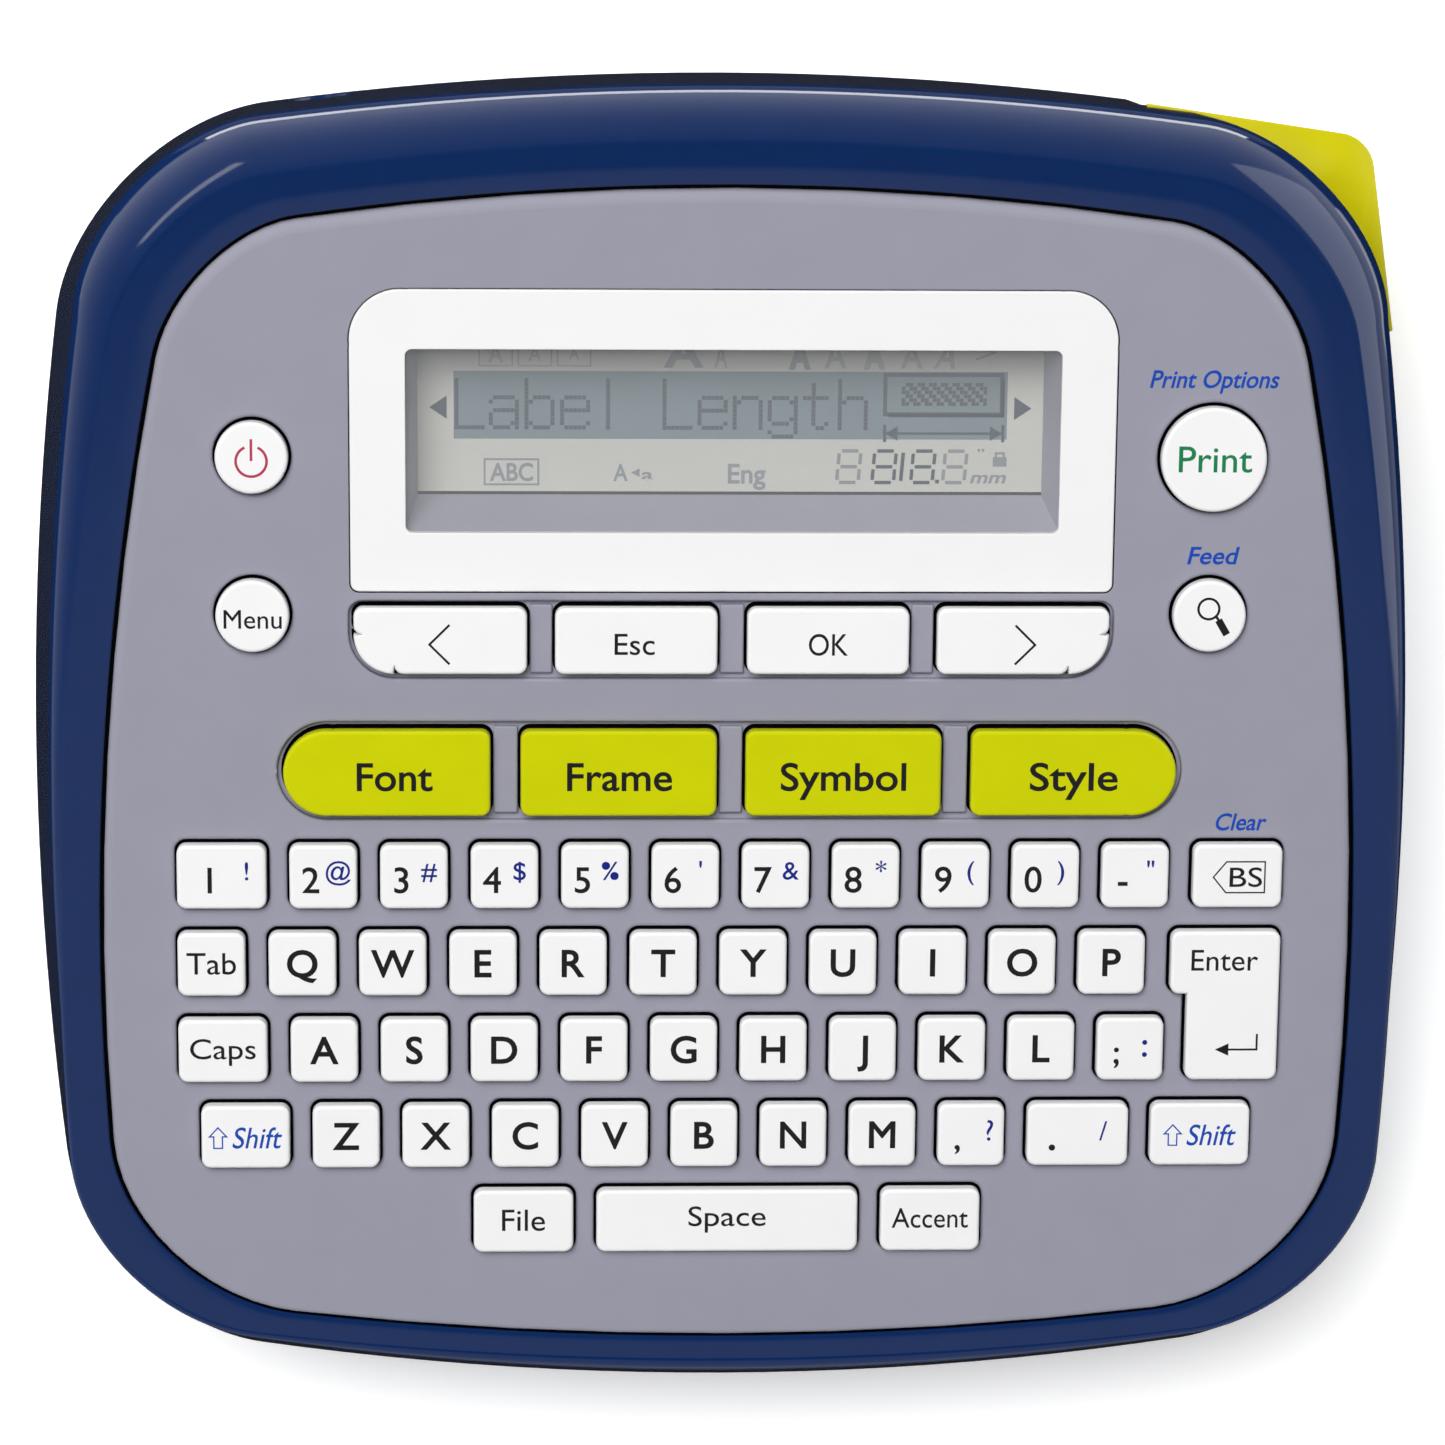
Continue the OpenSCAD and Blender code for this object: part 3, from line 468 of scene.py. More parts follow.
# Rounded lips of the key openings, of the two trenches and of the cover plate's opening
LIP = 0.55
LIP_DROP = 0.45
TRENCH_LIP = 0.35
TRENCH_LIP_DROP = 0.3
FINE_LIP = 0.05
PLATE_LIP = 0.12
# The panel's rounded border is widest at the back and narrowest at the front
BORDER = 1.1
BORDER_BACK = 0.4
BORDER_FRONT = 0.5
BORDER_FALL = 0.75
# Trenches of the display keys and the lime keys: room at the sides, front and back, corner radii
# and their steps, and how far the ribs end beyond the keys at the front and back
TRENCHES = [(NAV_KEYS, (0.6, 0.8, 0.55), (1.6, 1.6, 5.3, 5.3), 8, (-0.2, 0.1)),
            (LIME_KEYS, (0.75, 0.75, 0.75), None, 16, (0.0, 0.2))]
# Ribs between the keys of a trench
BAR_R = 0.25
BAR_TOP = -0.3


def key_box(node):
    """u and v extents of a key's top."""
    p = np.array(key_tops[node][0])
    return p.min(0), p.max(0)


def bezel_loops():
    """Outer and inner outline of the cover plate round the display, both anticlockwise."""
    loops = flat_loops("display_bezel", 0)
    outer = next(loop for loop in loops if area(loop) > 0)
    inner = next(loop for loop in loops if area(loop) < 0)[::-1]
    return outer, inner


def lip_rings(shape, loop, lip, top, drop):
    """Rounded lip of an opening, from the surface down to its wall."""
    rings = []
    for k in range(5):
        a = math.pi / 2 * k / 4
        rings.append(shape.ring(lift(offset(loop, lip * (1 - math.sin(a))),
                                     top - drop * (1 - math.cos(a)))))
    return rings


def bars_between(nodes, margin_low, margin_high):
    """Boxes of the ribs that stand between the keys of a trench."""
    made = []
    clear = GAP + 0.03
    for a, b in zip(nodes, nodes[1:]):
        (_, v0), (u0, v1) = key_box(a)
        u1 = key_box(b)[0][0]
        made.append((u0 + clear, v0 + margin_low, u1 - clear, v1 + margin_high))
    return made


def build_panel():
    """Keyboard panel with its rounded border, key openings, trenches and ribs."""
    outer = max(flat_loops("keyboard_panel", 0), key=area)
    shape = Shape()
    step = np.roll(outer, -1, 0) - np.roll(outer, 1, 0)
    facing = step[:, 0] / -np.linalg.norm(step, axis=1)
    width = BORDER + np.where(facing > 0, BORDER_BACK, BORDER_FRONT) * facing
    foot = shape.ring(lift(outer, PANEL_FOOT))
    last = foot
    for k in range(7):
        a = math.pi / 2 * k / 6
        ring = shape.ring(lift(offset(outer, -width * (1 - math.cos(a))),
                               -BORDER_FALL * width * (1 - math.sin(a))))
        shape.band(last, ring)
        last = ring
    top_rings = [last]
    bottom_rings = [foot]

    def hole(loop, top, into, lip=LIP, drop=LIP_DROP):
        """Opening with a rounded lip, down through the panel."""
        rings = lip_rings(shape, loop, lip, top, drop)
        for a, b in zip(rings, rings[1:]):
            shape.band(b, a)
        into.append(rings[0])
        deep = shape.ring(lift(loop, PANEL_FOOT))
        # The wall down the opening is painted black, as shade in the gap round the key
        shape.band(deep, rings[-1], 1)
        bottom_rings.append(deep)

    def trench(outline, keys, bars):
        """Sunk area with an opening for each key and a rib between each two."""
        rings = lip_rings(shape, outline, TRENCH_LIP, 0, TRENCH_LIP_DROP)
        rings.append(shape.ring(lift(outline, TRENCH)))
        for a, b in zip(rings, rings[1:]):
            shape.band(b, a)
        top_rings.append(rings[0])
        inside = [rings[-1]]
        for node in keys:
            hole(offset(key_tops[node][0], GAP), TRENCH, inside, FINE_LIP, FINE_LIP)
        for bar in bars:
            around = rounded_box(*bar, (BAR_R,) * 4, 3)
            inside.append(shape.ring(lift(around, TRENCH)))
            top = shape.round_over(inside[-1], around, rounded_profile(BAR_R, BAR_TOP, 4))
            shape.face(top, 0, True)
        shape.fill(inside)

    for node, loops in key_tops.items():
        if node not in NAV_KEYS + LIME_KEYS:
            for loop in loops:
                hole(offset(loop, GAP), 0.0, top_rings)

    for keys, (side, front, back), radii, steps, ends in TRENCHES:
        (u0, v0), (_, v1) = key_box(keys[0])
        u1 = key_box(keys[-1])[1][0]
        outline = (u0 - side, v0 - front, u1 + side, v1 + back)
        half = (outline[3] - outline[1]) / 2
        trench(rounded_box(*outline, radii or (half,) * 4, steps), keys, bars_between(keys, *ends))

    hole(offset(bezel_loops()[0], PLATE_LIP), 0.0, top_rings, PLATE_LIP, PLATE_LIP)
    shape.fill(top_rings)
    # The underside is painted black, as shade seen through the gaps
    shape.fill(bottom_rings, 1, False)
    shape.build("panel", "chassis", ["panel_grey", "painted_gap_shade"], "panel_grey", ["keyboard_panel"])


# ---- housing ----

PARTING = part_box("bottom_housing")[1].z / MM
WALL = 2.2
# The flank leans in by DRAFT, then rounds into the crest over a shoulder
DRAFT = math.tan(math.radians(9))
SHOULDER = 0.58
LEAST_SHOULDER = 0.6
# The shown skin stays this far inside the CAD skin
SKIN = 0.05
# Height of the rim round the panel, and of the ledge that the panel lies on
LAND = -0.6
LEDGE = -2.15
LEDGE_T = 1.25
LEDGE_W = 1.5
# Gap round the panel, and the shadow groove at the parting line
PANEL_GAP = 0.45
GROOVE = 0.6
# Plans of the housing: half width, back, front, back and front corner radius, then how far the
# sides bow, the y of their widest point, and how far the ends bow
BODY = (82.2, 78.15, -78.15, 24, 22, 0.001, 5, 0.0011)
CREST = (77.2, 65.05, -75.55, 17, 20, 0.0011, -28, 0.00105)
PANEL = (72.5, 61.5, -74.4, 15, 20, 0.0012, -30, 0.0011)
CORNER_STEPS = 26
EDGE_STEPS = 22


def bowed(plan, inset=0.0):
    """Round-cornered rectangle whose sides and ends bow outwards, shrunk by an inset."""
    a, back, front = plan[0] - inset, plan[1] - inset, plan[2] + inset
    rb, rf = plan[3] - inset, plan[4] - inset

    def line(p, q):
        return [(p[0] + (q[0] - p[0]) * i / EDGE_STEPS, p[1] + (q[1] - p[1]) * i / EDGE_STEPS)
                for i in range(1, EDGE_STEPS)]

    pts = (arc(a - rb, back - rb, rb, 0, 90, CORNER_STEPS)
           + line((a - rb, back), (rb - a, back))
           + arc(rb - a, back - rb, rb, 90, 180, CORNER_STEPS)
           + line((-a, back - rb), (-a, front + rf))
           + arc(rf - a, front + rf, rf, 180, 270, CORNER_STEPS)
           + line((rf - a, front), (a - rf, front))
           + arc(a - rf, front + rf, rf, 270, 360, CORNER_STEPS)
           + line((a, front + rf), (a, back - rb)))
    mid, half = (back + front) / 2, (back - front) / 2
    return np.array([(x * (1 - plan[5] * (y - plan[6]) ** 2 / a),
                      mid + (y - mid) * (1 - plan[7] * x * x / half)) for x, y in pts])


def face_height(y, n):
    """Level of the face plane n at depth y."""
    return FACE_Z + y * SLOPE + n / NORMAL.z


def level_ring(loop, z):
    """Ring at one level."""
    return [Vector((x, y, z)) * MM for x, y in loop]


def flank_ring(inset, drop, t):
    """Ring of the shoulder at angle t: 0 at the crest, a right angle where the flank begins."""
    low, high = bowed(BODY, inset), bowed(CREST, inset)
    along = np.roll(high, -1, 0) - np.roll(high, 1, 0)
    out = np.stack([along[:, 1], -along[:, 0]], 1) / np.linalg.norm(along, axis=1)[:, None]
    reach = ((low - high) * out).sum(1)[:, None]
    top = face_height(high[:, 1:2], LAND - drop)
    lean = np.minimum(DRAFT, (reach - LEAST_SHOULDER) / (top - PARTING))
    run = reach - (top - PARTING) * lean
    fall = SHOULDER * run * (1 - math.cos(t))
    p = high + (low - high) * (run * math.sin(t) + fall * lean) / reach
    z = top - fall
    return [Vector((x, y, h)) * MM for (x, y), h in zip(p, z[:, 0])]


def build_top_shell():
    """Top housing as one closed skin: groove, flank, shoulder, rim, ledge, and back down inside."""
    outside = [level_ring(bowed(BODY, SKIN + 0.12), PARTING + 0.42),
               level_ring(bowed(BODY, SKIN + 0.02), PARTING + 0.65)]
    base = level_ring(bowed(BODY, SKIN), PARTING + 1.2)
    steep = flank_ring(SKIN, 0, math.pi / 2)
    outside += [[a.lerp(b, k / 5) for a, b in zip(base, steep)] for k in range(5)]
    steps = 22
    outside += [flank_ring(SKIN, 0, math.pi / 2 * (1 - k / steps)) for k in range(steps + 1)]
    mouth = bowed(PANEL, -PANEL_GAP)
    crest = np.array([to_face(Vector((x, y, face_height(y, LAND))) * MM)[:2]
                      for x, y in bowed(CREST, SKIN)])
    outside += [lift(crest + (mouth - crest) * s, LAND) for s in (0.04, 0.5)]
    outside += [lift(offset(mouth, inset), n)
                for inset, n in rounded_profile(0.28, LAND, 3)[::-1]]
    hidden = [lift(mouth, LEDGE), lift(bowed(PANEL, LEDGE_W), LEDGE),
              lift(bowed(PANEL, LEDGE_W), LEDGE - LEDGE_T)]
    hidden += [flank_ring(WALL, WALL, math.pi / 2 * k / 5) for k in range(6)]
    hidden += [level_ring(bowed(BODY, inset), PARTING + rise)
               for inset, rise in ((WALL, 0), (GROOVE, 0), (GROOVE, 0.35))]
    shape = Shape()
    made = [shape.ring(r) for r in outside + hidden]
    for k, (a, b) in enumerate(zip(made, made[1:] + made[:1])):
        # The inside, the ledge under the panel gap and the walls of the parting groove are painted black, as shade
        # in the gaps
        shape.band(a, b, int(k >= len(outside) - 1))
    shell = shape.build("top_shell", "chassis", ["navy_gloss", "painted_gap_shade"], "navy_gloss",
                        ["top_housing"])
    cut_openings(shell)


# Room of the lever and its carriage inside the back right corner
LEVER_ROOM = [(48.6, 90), (48.6, 72.9), (44.2, 72.9), (44.2, 57.4), (62, 57.4), (66, 42.6),
              (90, 42.6), (90, 90)]
ROOM_GAP = 0.3
PLUG_R = 4.2


def prism(outline, z0, z1):
    """Closed prism over an anticlockwise outline, used as a cutter."""
    mesh = bpy.data.meshes.new("cutter")
    n = len(outline)
    pts = [(x * MM, y * MM, z * MM) for z in (z0, z1) for x, y in outline]
    faces = [list(range(n))[::-1], [n + i for i in range(n)]]
    faces += [[i, (i + 1) % n, n + (i + 1) % n, n + i] for i in range(n)]
    mesh.from_pydata(pts, [], faces)
    obj = bpy.data.objects.new("cutter", mesh)
    scene.collection.objects.link(obj)
    return obj


def cut_openings(shell):
    """Cuts the lever's room and the hole for the power plug, then fixes the shading."""
    lever_top = mm_box("cutter_lever")[1][2]
    jack_lo, jack_hi = mm_box("dc_jack")
    jack = (jack_lo + jack_hi) / 2
    tools = [prism(LEVER_ROOM, PARTING - 4, lever_top + ROOM_GAP)]
    hole = prism(arc(0, 0, PLUG_R, 0, 352.5, 47), 0, 30)
    hole.matrix_world = (Matrix.Translation(Vector((jack[0], jack_hi[1] - 4, jack[2])) * MM)
                         @ Matrix.Rotation(math.radians(-90), 4, "X"))
    tools.append(hole)
    bpy.context.view_layer.update()
    for tool in tools:
        cut = shell.modifiers.new("cut", "BOOLEAN")
        cut.operation = "DIFFERENCE"
        cut.object = tool
        cut.solver = "EXACT"
    graph = bpy.context.evaluated_depsgraph_get()
    mesh = bpy.data.meshes.new_from_object(shell.evaluated_get(graph))
    shell.modifiers.clear()
    shell.data = mesh
    for tool in tools:
        bpy.data.objects.remove(tool)
    mesh.polygons.foreach_set("use_smooth", [True] * len(mesh.polygons))
    crease(mesh, SHELL_CREASE)


# ---- display ----

PLATE_FOOT = -1.2


def build_bezel():
    """White cover plate with rounded edges round the display's opening."""
    outer, inner = bezel_loops()
    shape = Shape()
    foot = shape.ring(lift(outer, PLATE_FOOT))
    top = shape.round_over(foot, outer, rounded_profile(0.22, 0.0, 4))
    rings = [shape.ring(lift(offset(inner, inset), n))
             for inset, n in rounded_profile(0.12, 0.0, 3)[::-1]]
    rings.append(shape.ring(lift(inner, PLATE_FOOT)))
    for a, b in zip(rings, rings[1:]):
        shape.band(b, a)
    shape.fill([top, rings[0]])
    shape.fill([foot, rings[-1]], 0, False)
    shape.build("bezel", "chassis", ["white_gloss"], "white_gloss", ["display_bezel"])


# Dot patterns of the word on the display: rows from the top, a full stop is an empty dot
GLYPHS = {
    "L": "#...... #...... #...... #...... #...... #...... #...... #...... #...... #...... "
         "#...... #######",
    "a": "....... ....... ....... ....... .#####. #.....# ......# .###### #.....# #.....# "
         "#....## .####.#",
    "b": "#...... #...... #...... #...... #.####. ##....# #.....# #.....# #.....# #.....# "
         "##....# #.####.",
    "e": "....... ....... ....... ....... .#####. #.....# #.....# ####### #...... #...... "
         "#.....# .#####.",
    "l": "# # # # # # # # # # # #",
    "n": "....... ....... ....... ....... #.####. ##....# #.....# #.....# #.....# #.....# "
         "#.....# #.....#",
    "g": "....... ....... ....... ....... .####.# #....## #.....# #.....# #.....# #....## "
         ".####.# ......# #.....# .#####.",
    "t": "...... ..#... ..#... ..#... ###### ..#... ..#... ..#... ..#... ..#... ..#..# ...##.",
    "h": "#...... #...... #...... #...... #.####. ##....# #.....# #.....# #.....# #.....# "
         "#.....# #.....#",
}
# Left edge of each letter; all places on the display are from its middle
WORD = [("L", -31.85), ("a", -27.9), ("b", -23.8), ("e", -19.7), ("l", -14.4), ("L", -7.9),
        ("e", -3.85), ("n", 0.2), ("g", 4.25), ("t", 8.3), ("h", 12.35)]
DOT = 0.5
DOT_FILL = 0.46
ROW_TOP = 5.9
BAND = (-31.95, -1.15, 31.95, 6.75)
# Bottom and top row of states: ink, word, place from the middle, height, width, slant, weight
STATES = [("mid", "ABC", -25.3, -5.05, 2.0, 5.0, 0.0, 0.02),
          ("mid", "A", -12.7, -5.1, 1.9, 1.7, 0.0, 0.02),
          ("mid", "a", -9.6, -5.3, 1.4, 1.3, 0.0, 0.02),
          ("mid", "Eng", 1.9, -5.2, 2.2, 4.4, 0.0, 0.02),
          ("mid", '"', 29.0, -2.75, 0.9, 0.8, 0.0, 0.01),
          ("mid", "mm", 30.0, -5.55, 1.4, 4.0, 0.3, 0.02),
          ("mid", "A", -5.5, 8.9, 3.2, 4.6, 0.0, 0.03),
          ("faint", "A", -1.2, 8.6, 2.7, 1.5, 0.0, 0.02),
          ("mid", "A", 7.9, 8.6, 2.8, 2.6, 0.0, 0.06)]
STATES += [("faint", "A", x, 8.6, 2.8, 2.6, slant, weight)
           for x, slant, weight in ((12.0, 0.0, 0.02), (16.5, 0.0, 0.06), (20.8, 0.0, 0.02),
                                    (24.9, 0.25, 0.02))]
# Lines beside them: ink, points, width, closed
LINES = [("mid", [(-28.4, -6.5), (-22.2, -6.5), (-22.2, -3.55), (-28.4, -3.55)], 0.22, True),
         ("mid", [(30.75, -3.25), (30.75, -2.75), (31.65, -2.75), (31.65, -3.25)], 0.25, False),
         ("ink", [(19.75, -6.0), (20.0, -2.7)], 0.42, False),
         ("faint", [(28.2, 8.2), (30.4, 9.0), (28.2, 9.8)], 0.3, False)]
# Framed letters of three sizes
for x, height, width in ((-27.1, 2.0, 1.8), (-22.6, 1.6, 1.5), (-18.1, 1.2, 1.2)):
    x0, x1, y0, y1 = x - 1.9, x + 1.9, 7.35, 10.4
    STATES.append(("faint", "A", x, 8.75, height, width, 0.0, 0.02))
    LINES.append(("faint", [(x0, y0), (x1, y0), (x1, y1), (x0, y1)], 0.2, True))
BLOCKS = [("ink", (23.75, -6.3, 24.2, -5.85)), ("mid", (30.4, -4.3, 32.0, -3.2))]
DIGITS = [(12.3, "mid"), (16.4, "ink"), (20.9, "ink"), (24.6, "mid")]
# Dark border round the glass, at its sides, front and back
GLASS_BORDER = (1.6, 4.25, 1.2)


def build_display():
    """Display cell with its word, icons and digits as thin printed layers on the glass."""
    cell = np.array([to_face(v.co) for v in frame["nodes"]["lcd_module"].data.vertices])
    (u0, v0, n0), (u1, v1, n1) = cell.min(0), cell.max(0)
    shape = Shape()
    outline = rounded_box(u0, v0, u1, v1, (0.3,) * 4, 3)
    low = shape.ring(lift(outline, n0))
    high = shape.ring(lift(outline, n1))
    shape.face(low[::-1], 1, True)
    shape.band(low, high, 1)
    side, front, back = GLASS_BORDER
    view = rounded_box(u0 + side, v0 + front, u1 - side, v1 - back, (0.2,) * 4, 3)
    edge = shape.ring(lift(view, n1))
    shape.fill([high, edge], 1, True)
    shape.face(edge, 0, True)
    shape.build("display_cell", "chassis", ["display_glass", "lcd_black"], "display_glass",
                ["lcd_module"])

    layer = n1 + 0.02
    middle = ((u0 + u1) / 2, (v0 + v1) / 2)
    inks = {"band": Print(layer, 0.01, middle), "ink": Print(layer + 0.012, 0.012, middle),
            "mid": Print(layer + 0.012, 0.012, middle), "faint": Print(layer, 0.012, middle)}
    inks["band"].box(*BAND)
    ink = inks["ink"]
    for letter, left in WORD:
        for r, line in enumerate(GLYPHS[letter].split()):
            for c, mark in enumerate(line):
                if mark == "#":
                    x, y = left + c * DOT, ROW_TOP - r * DOT
                    ink.box(x, y - DOT_FILL, x + DOT_FILL, y)
    for side in (-1, 1):
        ink.arrowhead(side * 34.75, 2.5, side * 2.0, 1.35)
    label_icon(ink)
    for name, word, x, y, height, width, italic, weight in STATES:
        inks[name].text(word, x, y, height, width, italic, weight)
    for name, line, width, closed in LINES:
        inks[name].stroke(line, width, closed)
    for name, corners in BLOCKS:
        inks[name].box(*corners)
    inks["mid"].arrowhead(-11.5, -5.1, -1.0, 0.5)
    for left, name in DIGITS:
        digit(inks[name], left, -6.2, 2.5, 3.7)
    for name, made in inks.items():
        made.build("display_" + name, "chassis", "lcd_" + name, "display_glass")


def label_icon(ink):
    """Hatched label with a shadow, and the arrow that measures its length."""
    x0, x1, y0, y1 = 17.8, 31.3, 1.8, 6.4
    shadow, pitch, dot = 0.35, 0.45, 0.42
    ink.stroke([(x0, y0), (x1, y0), (x1, y1), (x0, y1)], 0.46, True)
    ink.box(x0 + 0.4, y0 - shadow, x1 + shadow, y0)
    ink.box(x1, y0 - shadow, x1 + shadow, y1 - 0.5)
    for r in range(6):
        for c in range(22):
            if (r + c) % 3 != 2:
                x, y = x0 + 1.9 + c * pitch, y0 + 1.0 + r * pitch
                ink.box(x, y, x + dot, y + dot)
    level = -0.45
    ink.stroke([(x0 + 0.2, level), (x1, level)], 0.3)
    for side, x in ((-1, x0), (1, x1 + 0.2)):
        ink.stroke([(x, level - 1.0), (x, level + 1.0)], 0.34)
        ink.arrowhead(x - side * 0.1, level, side * 1.4, 0.85)


def digit(ink, x, y, w, h):
    """Seven-segment figure, leaning, with all its segments on and small gaps between them."""
    width, lean, gap = 0.4, 0.08, 0.3
    half = h / 2
    for ax, ay, bx, by in ((0, h, w, h), (w, half, w, h), (w, 0, w, half), (0, 0, w, 0),
                           (0, 0, 0, half), (0, half, 0, h), (0, half, w, half)):
        cut = gap / math.hypot(bx - ax, by - ay)
        ends = [(ax + (bx - ax) * t, ay + (by - ay) * t) for t in (cut, 1 - cut)]
        ink.stroke([(x + px + py * lean, y + py) for px, py in ends], width)


# ---- printing on the face ----

class Print:
    """Thin raised ink on the face: filled shapes, strokes and letters."""

    def __init__(self, level, thickness, middle=(0.0, 0.0)):
        self.shape = Shape()
        self.level = level
        self.thick = thickness
        self.middle = middle

    def solid(self, points, faces):
        """Prism from flat faces (anticlockwise) over 2-D points."""
        outline = np.array(points) + self.middle
        low = self.shape.ring(lift(outline, self.level))
        high = self.shape.ring(lift(outline, self.level + self.thick))
        edges = {(f[k - 1], f[k]) for f in faces for k in range(len(f))}
        for f in faces:
            self.shape.face([high[i] for i in f], 0, True)
            self.shape.face([low[i] for i in f][::-1], 0, True)
        for a, b in sorted(edges):
            if (b, a) not in edges:
                self.shape.face([low[a], low[b], high[b], high[a]], 0, True)

    def polygon(self, points):
        if area(points) < 0:
            points = points[::-1]
        self.solid(points, [list(range(len(points)))])

    def arrowhead(self, x, y, length, half):
        """Triangle with its tip at x, y, pointing to the right for a length above zero."""
        self.polygon([(x, y), (x - length, y + half), (x - length, y - half)])

    def box(self, x0, y0, x1, y1):
        self.solid([(x0, y0), (x1, y0), (x1, y1), (x0, y1)], [[0, 1, 2, 3]])

    def stroke(self, line, width, closed=False):
        """Line of constant width with mitred bends."""
        p = np.array(line, float)
        count = len(p)
        left, right = [], []
        for i in range(count):
            before = p[i] - p[i - 1] if (i > 0 or closed) else None
            after = p[(i + 1) % count] - p[i] if (i < count - 1 or closed) else None
            dirs = [d / np.linalg.norm(d) for d in (before, after) if d is not None]
            normals = [np.array([-d[1], d[0]]) for d in dirs]
            m = sum(normals)
            if len(normals) == 2:
                m = m / max(0.3, 1 + float(normals[0] @ normals[1]))
            left.append(p[i] + m * width / 2)
            right.append(p[i] - m * width / 2)
        points = [tuple(q) for q in left + right]
        spans = range(count if closed else count - 1)
        faces = [[i, count + i, count + (i + 1) % count, (i + 1) % count] for i in spans]
        self.solid(points, faces)

    def text(self, word, x, y, height, width=None, italic=0.0, weight=0.0):
        """Generic lettering centred at x, y; height is that of a capital letter."""
        pts, faces = letter_mesh(word, weight)
        low, high = pts.min(0), pts.max(0)
        sy = height / CAP_HEIGHT
        sx = width / (high[0] - low[0]) if width else sy
        centre = (low[0] + high[0]) / 2
        moved = [((px - centre) * sx, (py - CAP_HEIGHT / 2) * sy) for px, py in pts]
        self.solid([(x + mx + my * italic, y + my) for mx, my in moved], faces)

    def build(self, name, body, material, slot):
        if self.shape.points:
            self.shape.build(name, body, [material], slot)


letters = {}


def letter_mesh(word, weight):
    """Flat mesh of a word in the plain built-in letter, as points and anticlockwise faces."""
    found = letters.get((word, weight))
    if found:
        return found
    data = bpy.data.curves.new("lettering", "FONT")
    data.body = word
    data.size = 1.0
    data.resolution_u = 5
    data.fill_mode = "FRONT"
    obj = bpy.data.objects.new("lettering", data)
    scene.collection.objects.link(obj)
    bpy.context.view_layer.update()
    graph = bpy.context.evaluated_depsgraph_get()
    mesh = bpy.data.meshes.new_from_object(obj.evaluated_get(graph))
    edges = {(i[k - 1], i[k]) for i in anticlockwise(mesh) for k in range(len(i))}
    loops = [simplify([(mesh.vertices[i].co.x, mesh.vertices[i].co.y) for i in loop], 0.008)
             for loop in chains(edges)]
    bpy.data.objects.remove(obj)
    bpy.data.meshes.remove(mesh)
    bpy.data.curves.remove(data)
    if weight:
        loops = [offset(loop, weight) for loop in loops]
    faces = []
    ordered = []
    for outer in (loop for loop in loops if area(loop) > 0):
        group = [outer] + [hole for hole in loops if area(hole) < 0 and encloses(outer, hole)]
        faces += [[len(ordered) + i for i in face] for face in fill_loops(group)]
        ordered += [p for loop in group for p in loop]
    letters[(word, weight)] = (np.array(ordered), faces)
    return letters[(word, weight)]


def encloses(outer, inner):
    """Whether the box of one outline lies inside the box of the other."""
    a, b = np.array(outer), np.array(inner)
    return bool((a.min(0) < b.min(0)).all() and (a.max(0) > b.max(0)).all())


def anticlockwise(mesh):
    """Vertex lists of a flat mesh's faces, all turning the same way."""
    for poly in mesh.polygons:
        ids = list(poly.vertices)
        yield ids if poly.normal.z > 0 else ids[::-1]


CAP_HEIGHT = float(letter_mesh("H", 0.0)[0][:, 1].max())

NUMBERS = "1234567890-"
SYMBOLS = "!@#$%'&*()\""
LETTERS = {"keys_top_row": "QWERTYUIOP", "keys_home_row": "ASDFGHJKL",
           "keys_bottom_row": "ZXCVBNM"}
# Marks on the last keys of the rows: row, key, colour, mark, place, height, weight
MARKS = [("keys_home_row", 9, "black", ";", -1.6, -0.3, 2.9, 0.01),
         ("keys_home_row", 9, "symbol", ":", 1.7, 0.6, 2.9, 0.01),
         ("keys_bottom_row", 7, "black", ",", -1.6, -0.3, 2.9, 0.01),
         ("keys_bottom_row", 7, "symbol", "?", 2.2, 0.6, 2.5, 0.0),
         ("keys_bottom_row", 8, "black", ".", -3.0, -0.3, 2.9, 0.03),
         ("keys_bottom_row", 8, "symbol", "/", 3.0, 0.5, 2.3, 0.0)]
# Words on the keys: key, word, place from the key's middle, height, width
WORDS = [("menu", "Menu", 0.05, -0.3, 2.15, 6.6), ("escape", "Esc", -0.2, -0.3, 2.45, 4.6),
         ("ok", "OK", 0.0, -0.35, 2.5, 4.5), ("tab", "Tab", 0.0, 0.15, 2.55, 5.7),
         ("caps", "Caps", 0.0, 0.3, 2.4, 7.6), ("file", "File", 0.0, 0.2, 2.6, 5.05),
         ("space", "Space", 0.0, 0.6, 2.4, 9.1), ("accent", "Accent", 0.0, 0.3, 2.4, 9.0),
         ("backspace", "BS", 0.95, -0.1, 2.3, 3.8), ("print", "Print", 0.1, 0.1, 2.95, 8.4),
         ("font", "Font", 0.9, -0.35, 3.2, 8.7), ("frame", "Frame", 0.1, -0.35, 3.2, 12.1),
         ("symbol", "Symbol", 0.0, -0.35, 3.2, 14.5), ("style", "Style", 0.0, -0.35, 3.2, 10.2)]
# Slanted words on the panel: key they belong to, word, place from it, width
NOTES = [("key_print", "Print Options", 0.05, 9.1, 14.6), ("key_preview", "Feed", 0.4, 6.85, 5.6),
         ("key_backspace", "Clear", 0.4, 6.15, 5.9)]
NOTE_HEIGHT = 1.95
NOTE_SLANT = 0.22
# Ink starts just under the surface and stands slightly proud of it
INK_SUNK = 0.008
INK_T = 0.024


def centre_of(node, index=0):
    """Middle of a key's top."""
    p = np.array(key_tops[node][index])
    return (p.min(0) + p.max(0)) / 2


